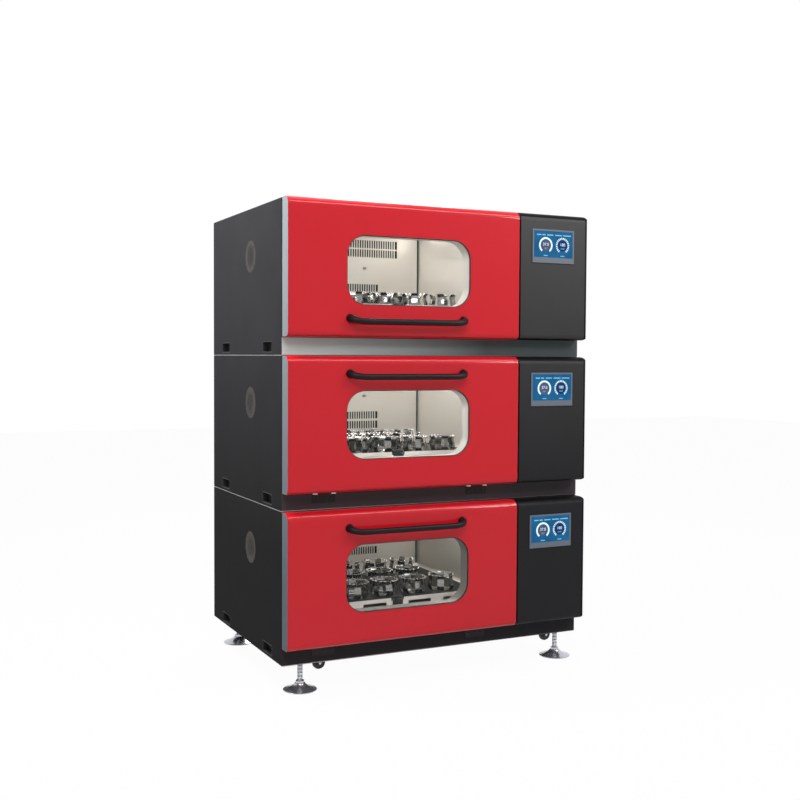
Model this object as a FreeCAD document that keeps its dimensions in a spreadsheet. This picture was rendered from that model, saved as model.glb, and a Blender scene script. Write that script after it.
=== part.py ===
# Stack of three shaking incubators on levelling feet and castors.
# Millimetres. The front is -Y and up is +Z. The origin is on the floor under the middle of the stack.
# Each unit is modelled from its own corner of the sheet: X from the middle of the cabinet,
# Y from the front plane of the cabinet, Z from the unit's bottom, and its nodes are then placed.
import FreeCAD, Part
import Sketcher
import math
import os
import re

Vector = FreeCAD.Vector

# Driving dimensions
SIZES = {
    # stack and cabinet
    "cabinet_width": 1250,
    "cabinet_depth": 840,
    "unit_height": 553,
    "body_lift": 105,
    "left_wall": 48,
    "right_wall": 30,
    "roof_wall": 28,
    "back_wall": 50,
    "front_rail": 12,
    "back_skirt": 12,
    "pan_low": 40,
    "pan_plate": 6,
    "seam_bevel": 3,
    "partition_left": 273,
    "partition_wall": 27,
    "seat_gap": 0.3,
    # handling pockets
    "pocket_front": 103,
    "pocket_back": 612,
    "pocket_length": 103,
    "pocket_low": 11,
    "pocket_height": 39,
    "pocket_deep": 24,
    # side vents of the control bay
    "vent_front": 470,
    "vent_pitch": 30,
    "vent_slot": 10,
    "vent_low": 300,
    "vent_height": 120,
    # chamber
    "liner_plate": 1.5,
    "chamber_floor": 138,
    "baffle_front": 715,
    "baffle_plate": 2,
    "upper_grille_low": 428,
    "lower_grille_low": 238,
    "grille_height": 73,
    "upper_grille_reach": 318,
    "lower_grille_reach": 227,
    "grille_pitch": 26.5,
    "grille_slot": 13,
    "lamp_width": 26,
    "lamp_height": 20,
    "lamp_length": 460,
    # access port
    "port_depth": 350,
    "port_height": 373,
    "port_ring": 60,
    "port_bore": 42,
    "port_flange": 3,
    "port_fit": 0.2,
    # door and control panel
    "door_split": 310,
    "split_gap": 4,
    "door_low": 65,
    "door_top_gap": 1,
    "door_stand": 64,
    "door_rest": 6,
    "round_top": 30,
    "round_bottom": 20,
    "panel_bevel": 6,
    "panel_corner": 14,
    "window_left": -403,
    "window_width": 500,
    "window_low": 181,
    "window_height": 248,
    "window_round": 73,
    "pane": 4,
    "pane_deep": 5,
    "pane_lap": 14,
    "skin_inset": 14,
    "skin_plate": 2,
    "gasket_width": 12,
    "gasket_lap": 10,
    # door handle
    "handle_left": -391,
    "handle_length": 459,
    "handle_radius": 11,
    "handle_out": 45,
    "handle_bend": 26,
    "handle_drop": 12,
    "handle_foot": 18,
    "handle_foot_plate": 8,
    "handle_below": 121,
    "handle_above": 477,
    # door hinges
    "hinge_left": -510,
    "hinge_right": 118,
    "hinge_width": 88,
    "hinge_leaf": 3,
    "hinge_leaf_low": 25,
    "barrel_share": 0.6,
    "lug_share": 0.7,
    "leaf_share": 0.5,
    "lower_axis_out": 6,
    "lower_axis_height": 59.5,
    "lower_knuckle": 4.5,
    "upper_axis_out": 3.2,
    "upper_axis_drop": 3.5,
    "upper_knuckle": 2.4,
    # touch screen
    "screen_left": 367,
    "screen_width": 190,
    "screen_low": 362,
    "screen_height": 129,
    "screen_proud": 4,
    "bezel": 6,
    "bezel_bottom": 21,
    "display_deep": 1.5,
    # platform
    "swing_x": -152,
    "swing_y": 360,
    "orbit": 13,
    "deck_length": 780,
    "deck_width": 600,
    "deck_top": 180,
    "deck_plate": 2,
    "rim_top": 192,
    "rim_notch": 54,
    "apron_low": 156,
    "apron_slot": 96,
    "apron_slot_low": 165,
    "apron_slot_height": 13,
    "inner_slots_out": 94,
    "outer_slots_out": 244,
    "subframe_inset": 10,
    "subframe_width": 430,
    "subframe_height": 22,
    # flask clamps
    "clamp_pitch": 124,
    "clamp_row_pitch": 180,
    "clamp_half": 48,
    "clamp_plate": 2,
    "clamp_height": 62,
    "clamp_bend": 29,
    "clamp_belly": 51,
    "clamp_neck": 41,
    "finger_width": 22,
    "finger_plate": 1.6,
    # triple eccentric drive
    "idler_end_in": 80,
    "idler_side_in": 60,
    "base_plate": 6,
    "base_length": 640,
    "base_width": 420,
    "block_size": 56,
    "bearing_top": 118,
    "shaft_low": 60,
    "main_shaft": 12,
    "idler_shaft": 10,
    "crank_pin": 8,
    "running_fit": 0.05,
    "crank_low": 143,
    "crank_plate": 7,
    "crank_disc": 30,
    "pin_reach": 18,
    "pin_end_gap": 1,
    "idler_arm_edge": 4,
    "motor_radius": 70,
    "counterweight_radius": 78,
    "counterweight_low": 121,
    "counterweight_plate": 13,
    "counterweight_sweep": 150,
    "floor_hole_gap": 6,
    # fan
    "fan_height": 370,
    "fan_hub": 26,
    "fan_radius": 110,
    "fan_front": 733,
    "fan_length": 26,
    "fan_blade": 2,
    "blade_root": 6,
    "blade_inset": 2,
    "fan_shaft": 5,
    "fan_shaft_in": 15,
    "fan_bore": 17,
    "fan_motor_radius": 42,
    "fan_motor_front": 763,
    # power inlet
    "inlet_x": 440,
    "inlet_height": 90,
    "inlet_width": 48,
    "inlet_tall": 30,
    "inlet_deep": 30,
    "inlet_rim": 4,
    "inlet_socket": 21,
    # feet and castors
    "foot_left_in": 87,
    "foot_right_in": 63,
    "foot_front": 45,
    "foot_back": 65,
    "foot_radius": 62,
    "foot_rim": 5,
    "foot_dome": 20,
    "foot_stem": 10,
    "stem_gap": 2,
    "foot_nut": 17,
    "nut_edge": 2,
    "foot_nut_height": 11,
    "foot_socket": 18,
    "socket_length": 28,
    "stem_in": 30,
    "castor_left_in": 202,
    "castor_right_in": 42,
    "castor_front": 152,
    "castor_back": 172,
    "castor_trail": 18,
    "castor_drop": 60,
    "wheel_radius": 25,
    "wheel_width": 18,
    "axle_radius": 4,
    "fork_plate": 3,
    "fork_gap": 1.5,
    "fork_boss": 8,
    "fork_top": 12,
    "castor_mount": 40,
    "castor_mount_plate": 5,
    "kingpin": 4,
}

UNITS = ("bottom", "middle", "top")
VENTS = 6
FAN_BLADES = 6
# Flask clamps in each row, from the front
CLAMP_ROWS = (5, 4, 5)

doc = FreeCAD.newDocument("ShakingIncubatorStack")
sheet = doc.addObject("Spreadsheet::Sheet", "Sizes")
for row, (alias, size) in enumerate(SIZES.items(), start=1):
    sheet.set(f"A{row}", alias)
    sheet.set(f"B{row}", str(size))
    sheet.setAlias(f"B{row}", alias)
doc.recompute()

# Places that several pieces share, in the unit's own frame
FRONT = "(door_stand + handle_out - cabinet_depth) / 2"
SIDE = "cabinet_width / 2"
LEFT_INSIDE = f"(left_wall - {SIDE})"
RIGHT_INSIDE = f"({SIDE} - right_wall)"
ROOF_INSIDE = "(unit_height - roof_wall)"
BACK_INSIDE = "(cabinet_depth - back_wall)"
PAN_TOP = "(pan_low + pan_plate)"
BAY_LEFT = "(partition_left + partition_wall)"
FLOOR_TOP = "(chamber_floor + liner_plate)"
DOOR_TOP = "(unit_height - door_top_gap)"
DECK_UNDER = "(deck_top - deck_plate)"
PIN_LOW = "(crank_low + crank_plate)"
PLATE_TOP = f"({PAN_TOP} + base_plate)"
FOOT_LEFT = f"(foot_left_in - {SIDE})"
FOOT_RIGHT = f"({SIDE} - foot_right_in)"
CASTOR_LEFT = f"(castor_left_in - {SIDE})"
CASTOR_RIGHT = f"({SIDE} - castor_right_in)"
# Where each foot and castor wheel stands: its X and Y, then those of the wheel
CORNERS = {
    "front_left": (FOOT_LEFT, "foot_front", CASTOR_LEFT, "castor_front"),
    "front_right": (FOOT_RIGHT, "foot_front", CASTOR_RIGHT, "castor_front"),
    "back_left": (FOOT_LEFT, "cabinet_depth - foot_back", CASTOR_LEFT, "cabinet_depth - castor_back"),
    "back_right": (FOOT_RIGHT, "cabinet_depth - foot_back", CASTOR_RIGHT, "cabinet_depth - castor_back"),
}
# The main crank in the middle and an idler towards each of two corners
IDLER_SIDE = "(base_length / 2 - idler_end_in)"
IDLER_DEPTH = "(base_width / 2 - idler_side_in)"
CRANKS = {
    "main": ("swing_x", "swing_y"),
    "idler_left": (f"swing_x - {IDLER_SIDE}", f"swing_y + {IDLER_DEPTH}"),
    "idler_right": (f"swing_x + {IDLER_SIDE}", f"swing_y - {IDLER_DEPTH}"),
}
# The nodes to write
NODES = []

TURNS = {
    "x": FreeCAD.Rotation(Vector(0, 1, 0), 90),
    "y": FreeCAD.Rotation(Vector(1, 0, 0), -90),
    "z": FreeCAD.Rotation(),
}
UPRIGHT = FreeCAD.Rotation(Vector(1, 0, 0), 90)
# Numbers of a box's edges, by their direction and the side they are on
BOX_EDGES = {
    "front bottom": 9, "front top": 10, "back bottom": 11, "back top": 12,
    "left bottom": 4, "left top": 2, "right bottom": 8, "right top": 6,
    "left front": 1, "left back": 3, "right front": 5, "right back": 7,
}
ALONG_Y = ("left bottom", "left top", "right bottom", "right top")


def formula(text):
    """Name the sheet in front of each size that the text uses."""
    return re.sub(r"[a-z][a-z_]+", lambda word: f"Sizes.{word[0]}" if word[0] in SIZES else word[0], text)


def value(text):
    return float(sheet.evalExpression(formula(text)))


def bind(item, target, text):
    item.setExpression(target, formula(text))


def slab(name, x, y, z):
    """A box between the low and high place on each axis."""
    solid = doc.addObject("Part::Box", name)
    for size, axis, (low, high) in zip(("Length", "Width", "Height"), "xyz", (x, y, z)):
        bind(solid, size, f"({high}) - ({low})")
        bind(solid, f"Placement.Base.{axis}", low)
    return solid


def rod(name, axis, centre, span, radius):
    """A cylinder along an axis; centre holds the two other coordinates in X, Y, Z order."""
    solid = doc.addObject("Part::Cylinder", name)
    solid.Placement = FreeCAD.Placement(Vector(), TURNS[axis])
    bind(solid, "Radius", radius)
    bind(solid, "Height", f"({span[1]}) - ({span[0]})")
    across = [letter for letter in "xyz" if letter != axis]
    bind(solid, f"Placement.Base.{axis}", span[0])
    for letter, place in zip(across, centre):
        bind(solid, f"Placement.Base.{letter}", place)
    return solid


def gather(name, solids):
    group = doc.addObject("Part::Compound", name)
    group.Links = list(solids)
    return group


def cut(name, base, tools):
    result = doc.addObject("Part::Cut", name)
    result.Base = base
    result.Tool = tools[0] if len(tools) == 1 else gather(f"{name}_tools", tools)
    return result


def fuse(name, solids):
    result = doc.addObject("Part::MultiFuse", name)
    result.Shapes = list(solids)
    result.Refine = True
    return result


def common(name, solids):
    result = doc.addObject("Part::MultiCommon", name)
    result.Shapes = list(solids)
    return result


def tube(name, axis, centre, span, outer, inner):
    wall = rod(f"{name}_wall", axis, centre, span, outer)
    return cut(name, wall, [rod(f"{name}_hole", axis, centre, span, inner)])


def eased(name, box, radii, kind="Part::Fillet"):
    """Round or bevel a box's edges: radii maps an edge's name to its size."""
    result = doc.addObject(kind, name)
    result.Base = box
    result.Edges = [(BOX_EDGES[edge], value(size), value(size)) for edge, size in radii.items()]
    return result


def profile(name, points):
    """A closed sketch in the XZ plane through the points, each held by its two coordinates."""
    sketch = doc.addObject("Sketcher::SketchObject", name)
    sketch.Placement = FreeCAD.Placement(Vector(), UPRIGHT)
    corners = [Vector(value(u), value(v), 0) for u, v in points]
    for start, end in zip(corners, corners[1:] + corners[:1]):
        sketch.addGeometry(Part.LineSegment(start, end), False)
    for line in range(len(points)):
        following = (line + 1) % len(points)
        sketch.addConstraint(Sketcher.Constraint("Coincident", line, 2, following, 1))
    for line, place in enumerate(points):
        for kind, text in zip(("DistanceX", "DistanceY"), place):
            held = sketch.addConstraint(Sketcher.Constraint(kind, -1, 1, line, 1, value(text)))
            bind(sketch, f"Constraints[{held}]", text)
    return sketch


def extruded(name, sketch, direction, length):
    solid = doc.addObject("Part::Extrusion", name)
    solid.Base = sketch
    solid.DirMode = "Custom"
    solid.Dir = direction
    solid.Solid = True
    bind(solid, "LengthFwd", length)
    return solid


def revolved(name, sketch):
    """Turn a sketch in the XZ plane about the Z axis."""
    solid = doc.addObject("Part::Revolution", name)
    solid.Source = sketch
    solid.Axis = Vector(0, 0, 1)
    solid.Base = Vector()
    solid.Angle = 360
    solid.Solid = True
    return solid


def unit_base(unit):
    return f"body_lift + {UNITS.index(unit)} * unit_height"


def node(name, solids, unit):
    """The pieces of one unit, put at the unit's place in the stack."""
    group = gather(name, solids)
    group.Label = name
    bind(group, "Placement.Base.y", FRONT)
    bind(group, "Placement.Base.z", unit_base(unit))
    return group


def keep(group):
    NODES.append(group)
    return group


def for_each_unit(name, make):
    """One node that holds the same fixed piece of all three units."""
    groups = [node(f"{name}_{unit}", make(f"{name}_{unit}", unit), unit) for unit in UNITS]
    whole = gather(name, groups)
    whole.Label = name
    return keep(whole)


# Cabinet

def pocket_tools(name, low_x, high_x):
    tools = []
    for place in ("pocket_front", "pocket_back"):
        span_y = (place, f"{place} + pocket_length")
        span_z = ("pocket_low", "pocket_low + pocket_height")
        tools.append(slab(f"{name}_{place}", (low_x, high_x), span_y, span_z))
    return tools


def side_wall(name, low_x, high_x, outer):
    """A side wall over the unit's full height, bevelled at the seams to the units above and below."""
    wall = slab(f"{name}_wall", (low_x, high_x), ("0", "cabinet_depth"), ("0", "unit_height"))
    edges = {f"{outer} bottom": "seam_bevel", f"{outer} top": "seam_bevel"}
    return eased(f"{name}_bevelled", wall, edges, "Part::Chamfer")


def cabinet(name, unit):
    port_centre = ("port_depth", "port_height")
    left = side_wall(f"{name}_left", f"-{SIDE}", LEFT_INSIDE, "left")
    left_tools = pocket_tools(f"{name}_left_pockets", f"-{SIDE}", f"pocket_deep - {SIDE}")
    left_tools.append(rod(f"{name}_port_bore", "x", port_centre, (f"-{SIDE}", LEFT_INSIDE), "port_bore"))
    flange = (f"-{SIDE}", f"port_flange - {SIDE}")
    seat = rod(f"{name}_port_seat", "x", port_centre, flange, "port_ring + port_fit")
    left_side = cut(f"{name}_left_side", cut(f"{name}_left_cut", left, left_tools), [seat])

    right = side_wall(f"{name}_right", RIGHT_INSIDE, SIDE, "right")
    right_tools = pocket_tools(f"{name}_right_pockets", f"{SIDE} - pocket_deep", SIDE)
    for count in range(VENTS):
        start = f"vent_front + {count} * vent_pitch"
        span_z = ("vent_low", "vent_low + vent_height")
        vent = slab(f"{name}_vent_{count}", (RIGHT_INSIDE, SIDE), (start, f"{start} + vent_slot"), span_z)
        right_tools.append(vent)
    right_side = cut(f"{name}_right_side", right, right_tools)

    inside = (LEFT_INSIDE, RIGHT_INSIDE)
    roof = slab(f"{name}_roof", inside, ("0", "cabinet_depth"), (ROOF_INSIDE, "unit_height"))
    pan = slab(f"{name}_pan", inside, ("front_rail", BACK_INSIDE), ("pan_low", PAN_TOP))
    if unit == "bottom":
        holes = []
        for corner, (x, y, _, _) in CORNERS.items():
            hole_name = f"{name}_{corner}_stem_hole"
            holes.append(square_hole(hole_name, (x, y), "foot_stem + stem_gap", ("pan_low", PAN_TOP)))
        pan = cut(f"{name}_pan_cut", pan, holes)
    back = slab(f"{name}_back_wall", inside, (BACK_INSIDE, "cabinet_depth"), ("pan_low", ROOF_INSIDE))
    inlet_x = ("inlet_x - inlet_width / 2", "inlet_x + inlet_width / 2")
    inlet_y = ("cabinet_depth - inlet_deep", "cabinet_depth")
    inlet_z = ("inlet_height", "inlet_height + inlet_tall")
    back = cut(f"{name}_back", back, [slab(f"{name}_inlet_hole", inlet_x, inlet_y, inlet_z)])
    skirt_y = ("cabinet_depth - back_skirt", "cabinet_depth")
    skirt = slab(f"{name}_skirt", inside, skirt_y, ("0", "pan_low"))
    rail = slab(f"{name}_rail", inside, ("0", "front_rail"), ("0", "chamber_floor"))
    bay = ("partition_left", BAY_LEFT)
    partition = slab(f"{name}_partition", bay, ("front_rail", BACK_INSIDE), (PAN_TOP, ROOF_INSIDE))
    jamb = slab(f"{name}_jamb", bay, ("0", "front_rail"), ("chamber_floor", ROOF_INSIDE))
    return [left_side, right_side, roof, pan, back, skirt, rail, partition, jamb]


def square_hole(name, centre, half, span):
    """A square opening about an upright axis."""
    x, y = centre
    return slab(name, (f"{x} - ({half})", f"{x} + ({half})"), (f"{y} - ({half})", f"{y} + ({half})"), span)


def chamber_liner(name, unit):
    liner_left = f"{LEFT_INSIDE} + liner_plate"
    liner_right = "partition_left - liner_plate"
    across = (LEFT_INSIDE, "partition_left")
    depth = ("front_rail", BACK_INSIDE)
    floor = slab(f"{name}_floor", across, depth, ("chamber_floor", FLOOR_TOP))
    holes = []
    for crank, centre in CRANKS.items():
        shaft = "main_shaft" if crank == "main" else "idler_shaft"
        half = f"{shaft} + floor_hole_gap"
        holes.append(square_hole(f"{name}_hole_{crank}", centre, half, ("chamber_floor", FLOOR_TOP)))
    floor = cut(f"{name}_floor_cut", floor, holes)
    ceiling = slab(f"{name}_ceiling", across, depth, (f"{ROOF_INSIDE} - liner_plate", ROOF_INSIDE))
    height = (FLOOR_TOP, f"{ROOF_INSIDE} - liner_plate")
    left = slab(f"{name}_left", (LEFT_INSIDE, liner_left), depth, height)
    port_centre = ("port_depth", "port_height")
    port = rod(f"{name}_port", "x", port_centre, (LEFT_INSIDE, liner_left), "port_bore")
    left = cut(f"{name}_left_cut", left, [port])
    right = slab(f"{name}_right", (liner_right, "partition_left"), depth, height)
    back_y = (f"{BACK_INSIDE} - liner_plate", BACK_INSIDE)
    back = slab(f"{name}_back", (liner_left, liner_right), back_y, height)
    return [floor, ceiling, left, right, back]


def air_baffle(name, unit):
    """A plate in front of the fan with a tall slot grille above it and another below it."""
    across = (f"{LEFT_INSIDE} + liner_plate", "partition_left - liner_plate")
    thick = ("baffle_front", "baffle_front + baffle_plate")
    plate = slab(f"{name}_plate", across, thick, (FLOOR_TOP, f"{ROOF_INSIDE} - liner_plate"))
    slots = []
    for grille in ("upper", "lower"):
        reach = value(f"{grille}_grille_reach - grille_slot / 2")
        each_way = int(reach / value("grille_pitch"))
        span_z = (f"{grille}_grille_low", f"{grille}_grille_low + grille_height")
        for count in range(-each_way, each_way + 1):
            start = f"swing_x + {count} * grille_pitch - grille_slot / 2"
            span_x = (start, f"{start} + grille_slot")
            slots.append(slab(f"{name}_{grille}_{count + each_way}", span_x, thick, span_z))
    return [cut(f"{name}_cut", plate, slots)]


def access_port(name, unit):
    """A flange ring flush with the side, and the plug that closes the bore."""
    centre = ("port_depth", "port_height")
    flange = (f"-{SIDE}", f"port_flange - {SIDE}")
    ring = tube(f"{name}_ring", "x", centre, flange, "port_ring", "port_bore")
    return [ring]


def port_plug(name, unit):
    centre = ("port_depth", "port_height")
    span = (f"-{SIDE}", f"{LEFT_INSIDE} + liner_plate")
    return [rod(f"{name}_plug", "x", centre, span, "port_bore - port_fit")]


def chamber_lamp(name, unit):
    right = "partition_left - liner_plate"
    top = f"{ROOF_INSIDE} - liner_plate"
    span_x = (f"{right} - lamp_width", right)
    span_y = ("swing_y - lamp_length / 2", "swing_y + lamp_length / 2")
    tray = slab(f"{name}_tray", span_x, span_y, (f"{top} - lamp_height", top))
    return [eased(f"{name}_body", tray, {"left bottom": "lamp_height / 2"}, "Part::Chamfer")]


# Control panel and touch screen

def control_panel(name, unit):
    """The panel's rounded side view, its front view with two rounded corners and its bevelled plan."""
    across = ("door_split + split_gap", SIDE)
    views = []
    for view, kind, edges in (
        ("side", "Part::Fillet", {"front top": "round_top", "front bottom": "round_bottom"}),
        ("front", "Part::Fillet", {"right top": "panel_corner", "right bottom": "panel_corner"}),
        ("plan", "Part::Chamfer", {"right front": "panel_bevel"}),
    ):
        block = slab(f"{name}_{view}_block", across, ("-door_stand", "0"), ("door_low", DOOR_TOP))
        views.append(eased(f"{name}_{view}", block, edges, kind))
    return [common(f"{name}_cover", views)]


def touchscreen(name, unit):
    right = "screen_left + screen_width"
    top = "screen_low + screen_height"
    face = "-door_stand - screen_proud"
    frame = slab(f"{name}_frame", ("screen_left", right), (face, "-door_stand"), ("screen_low", top))
    span_x = ("screen_left + bezel", f"{right} - bezel")
    span_z = ("screen_low + bezel_bottom", f"{top} - bezel")
    recess = slab(f"{name}_recess", span_x, (face, f"{face} + display_deep"), span_z)
    bezel = cut(f"{name}_bezel", frame, [recess])
    glass_y = (f"{face} + display_deep / 2", f"{face} + display_deep")
    display = slab(f"{name}_display", span_x, glass_y, span_z)
    return [bezel, display]


# Power inlet

def power_inlet(name, unit):
    span_x = ("inlet_x - inlet_width / 2", "inlet_x + inlet_width / 2")
    span_z = ("inlet_height", "inlet_height + inlet_tall")
    back = "cabinet_depth"
    body = slab(f"{name}_body", span_x, (f"{back} - inlet_deep", back), span_z)
    socket_x = ("inlet_x - inlet_width / 2 + inlet_rim", "inlet_x + inlet_width / 2 - inlet_rim")
    socket_z = ("inlet_height + inlet_rim", "inlet_height + inlet_tall - inlet_rim")
    socket = slab(f"{name}_socket", socket_x, (f"{back} - inlet_socket", back), socket_z)
    return [cut(f"{name}_shell", body, [socket])]


# Door

def window_block(name, span_y, gap):
    """A block of the window's rounded outline, smaller by the gap all round."""
    span_x = (f"window_left + {gap}", f"window_left + window_width - {gap}")
    span_z = (f"window_low + {gap}", f"window_low + window_height - {gap}")
    block = slab(f"{name}_block", span_x, span_y, span_z)
    return eased(f"{name}_round", block, {edge: f"window_round - {gap}" for edge in ALONG_Y})


def door_shell(name, unit):
    span_x = (f"-{SIDE}", "door_split")
    block = slab(f"{name}_block", span_x, ("-door_stand", "-door_rest"), ("door_low", DOOR_TOP))
    eased_block = eased(f"{name}_eased", block, {"front top": "round_top", "front bottom": "round_bottom"})
    window = window_block(f"{name}_window", ("-door_stand", "-door_rest"), "0")
    return [cut(f"{name}_panel", eased_block, [window])]


def hinge_axis(unit):
    """How far out and how high the door's hinge axis lies, and the radius of its knuckles."""
    if unit == "top":
        return "upper_axis_out", "(unit_height - upper_axis_drop)", "upper_knuckle"
    return "lower_axis_out", "lower_axis_height", "lower_knuckle"


def hinge_barrel(side):
    """How far a hinge's middle knuckle reaches, between the door's two lugs."""
    middle = f"{side} + hinge_width / 2"
    return (f"{middle} - hinge_width * barrel_share / 2", f"{middle} + hinge_width * barrel_share / 2")


def door_liner(name, unit):
    """The stainless inner skin, the gasket on it and the door's own hinge lugs."""
    skin_x = (f"skin_inset - {SIDE}", "door_split - skin_inset")
    skin_z = ("door_low + skin_inset", f"{DOOR_TOP} - skin_inset")
    skin_y = ("-door_rest", "skin_plate - door_rest")
    skin = slab(f"{name}_skin", skin_x, skin_y, skin_z)
    skin = cut(f"{name}_inner_skin", skin, [window_block(f"{name}_window", skin_y, "0")])
    outer_x = (f"{LEFT_INSIDE} - gasket_lap", "partition_left + gasket_lap")
    outer_z = ("chamber_floor - gasket_lap", f"{ROOF_INSIDE} + gasket_lap")
    inner_x = (f"{outer_x[0]} + gasket_width", f"{outer_x[1]} - gasket_width")
    inner_z = (f"{outer_z[0]} + gasket_width", f"{outer_z[1]} - gasket_width")
    gasket_y = (skin_y[1], "-seat_gap")
    ring = slab(f"{name}_ring", outer_x, gasket_y, outer_z)
    gasket = cut(f"{name}_gasket", ring, [slab(f"{name}_ring_hole", inner_x, gasket_y, inner_z)])
    solids = [skin, gasket]
    out, height, knuckle = hinge_axis(unit)
    half = f"{knuckle} * lug_share"
    if unit == "top":
        lug_y = ("-door_rest", f"{half} - {out}")
        lug_z = (f"{height} - {half}", f"{height} + {half}")
    else:
        lug_y = (f"-{out} - {half}", f"{half} - {out}")
        lug_z = (f"{height} - {half}", "door_low")
    for side in ("hinge_left", "hinge_right"):
        barrel_x = hinge_barrel(side)
        left_lug = (side, f"{barrel_x[0]} - seat_gap")
        right_lug = (f"{barrel_x[1]} + seat_gap", f"{side} + hinge_width")
        solids.append(slab(f"{name}_{side}_left_lug", left_lug, lug_y, lug_z))
        solids.append(slab(f"{name}_{side}_right_lug", right_lug, lug_y, lug_z))
    return solids


def door_glass(name, unit):
    """The outer pane in the window and the larger inner pane behind the skin."""
    outer = ("pane_deep - door_stand", "pane_deep + pane - door_stand")
    inner_x = ("window_left - pane_lap", "window_left + window_width + pane_lap")
    inner_z = ("window_low - pane_lap", "window_low + window_height + pane_lap")
    inner = slab(f"{name}_inner", inner_x, ("skin_plate - door_rest", "-seat_gap"), inner_z)
    return [window_block(f"{name}_outer", outer, "seat_gap"), inner]


def door_handle(name, unit):
    """A round bar that hangs a little below its two feet and bends back and up into them."""
    radius = value("handle_radius")
    bend = value("handle_bend")
    left = value("handle_left")
    right = value("handle_left + handle_length")
    face = value("-door_stand")
    bar_height = "handle_below" if unit == "top" else "handle_above"
    drop = value("handle_drop")
    reach = value("handle_out - handle_radius")
    # The bar lies in a plane that leans down from the feet; "out" is the distance along that lean
    full_out = math.hypot(reach, drop)
    lean = Vector(0, -reach / full_out, -drop / full_out)
    start = value("handle_foot_plate") / 2
    turn = bend * (1 - math.cos(math.pi / 4))

    def at(x, out):
        return Vector(x, face, value(bar_height) + drop) + lean * out

    straight = full_out - bend
    left_bend = [at(left, straight), at(left + turn, full_out - turn), at(left + bend, full_out)]
    right_bend = [at(right - bend, full_out), at(right - turn, full_out - turn), at(right, straight)]
    path = Part.Wire([
        Part.LineSegment(at(left, start), left_bend[0]).toShape(),
        Part.Arc(*left_bend).toShape(),
        Part.LineSegment(left_bend[2], right_bend[0]).toShape(),
        Part.Arc(*right_bend).toShape(),
        Part.LineSegment(right_bend[2], at(right, start)).toShape(),
    ])
    section = Part.Wire([Part.makeCircle(radius, at(left, start), lean)])
    bar = doc.addObject("Part::Feature", f"{name}_bar")
    bar.Shape = path.makePipeShell([section], True, False)
    foot_y = ("-door_stand - handle_foot_plate", "-door_stand")
    foot_height = f"{bar_height} + handle_drop"
    left_foot = rod(f"{name}_left_foot", "y", ("handle_left", foot_height), foot_y, "handle_foot")
    right_centre = ("handle_left + handle_length", foot_height)
    right_foot = rod(f"{name}_right_foot", "y", right_centre, foot_y, "handle_foot")
    return [fuse(f"{name}_whole", [bar, left_foot, right_foot])]


def door_hinges(name, unit):
    """The fixed leaves on the cabinet and the knuckle of each."""
    out, height, knuckle = hinge_axis(unit)
    solids = []
    for side in ("hinge_left", "hinge_right"):
        across = (side, f"{side} + hinge_width")
        barrel_x = hinge_barrel(side)
        barrel = rod(f"{name}_{side}_barrel", "x", (f"-{out}", height), barrel_x, knuckle)
        if unit == "top":
            leaf_y = (f"{knuckle} * leaf_share - {out}", "0")
            leaf_z = (f"{height} - {knuckle}", f"{height} + {knuckle} * leaf_share")
            leaf = slab(f"{name}_{side}_leaf", barrel_x, leaf_y, leaf_z)
        else:
            leaf_z = ("hinge_leaf_low", f"{height} - {knuckle}")
            low_leaf = slab(f"{name}_{side}_plate", across, ("-hinge_leaf", "0"), leaf_z)
            neck_z = (f"{height} - {knuckle}", height)
            neck = slab(f"{name}_{side}_neck", barrel_x, ("-hinge_leaf", "0"), neck_z)
            leaf = fuse(f"{name}_{side}_leaf", [low_leaf, neck])
        solids.append(fuse(f"{name}_{side}", [leaf, barrel]))
    return solids


# Triple eccentric drive

def drive_base(name, unit):
    """The base plate with the bearing blocks of the idlers."""
    span_x = ("swing_x - base_length / 2", "swing_x + base_length / 2")
    span_y = ("swing_y - base_width / 2", "swing_y + base_width / 2")
    plate = slab(f"{name}_plate", span_x, span_y, (PAN_TOP, PLATE_TOP))
    solids = [plate]
    for crank, (x, y) in CRANKS.items():
        if crank != "main":
            block_x = (f"{x} - block_size / 2", f"{x} + block_size / 2")
            block_y = (f"{y} - block_size / 2", f"{y} + block_size / 2")
            height = (PLATE_TOP, "bearing_top")
            block = slab(f"{name}_{crank}_block", block_x, block_y, height)
            bore = rod(f"{name}_{crank}_bore", "z", (x, y), height, "idler_shaft + running_fit")
            solids.append(cut(f"{name}_{crank}", block, [bore]))
    return solids


def drive_motor(name, unit):
    span = (PLATE_TOP, "bearing_top")
    return [tube(f"{name}_housing", "z", CRANKS["main"], span, "motor_radius", "main_shaft + running_fit")]


def crank_pin(name, centre):
    x, y = centre
    span = (PIN_LOW, f"{PIN_LOW} + pin_reach")
    return rod(name, "z", (f"{x} + orbit", y), span, "crank_pin")


def main_crank(name, unit):
    """Motor shaft, eccentric disc and pin, with a counterweight opposite the pin."""
    centre = CRANKS["main"]
    shaft = rod(f"{name}_shaft", "z", centre, ("shaft_low", "crank_low"), "main_shaft")
    disc = rod(f"{name}_disc", "z", centre, ("crank_low", PIN_LOW), "crank_disc")
    weight_z = ("counterweight_low", "counterweight_low + counterweight_plate")
    weight = rod(f"{name}_weight", "z", centre, weight_z, "counterweight_radius")
    bind(weight, "Angle", "counterweight_sweep")
    weight.Placement.Rotation = FreeCAD.Rotation(Vector(0, 0, 1), value("180 - counterweight_sweep / 2"))
    return [fuse(f"{name}_crank", [shaft, weight, disc, crank_pin(f"{name}_pin", centre)])]


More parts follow.
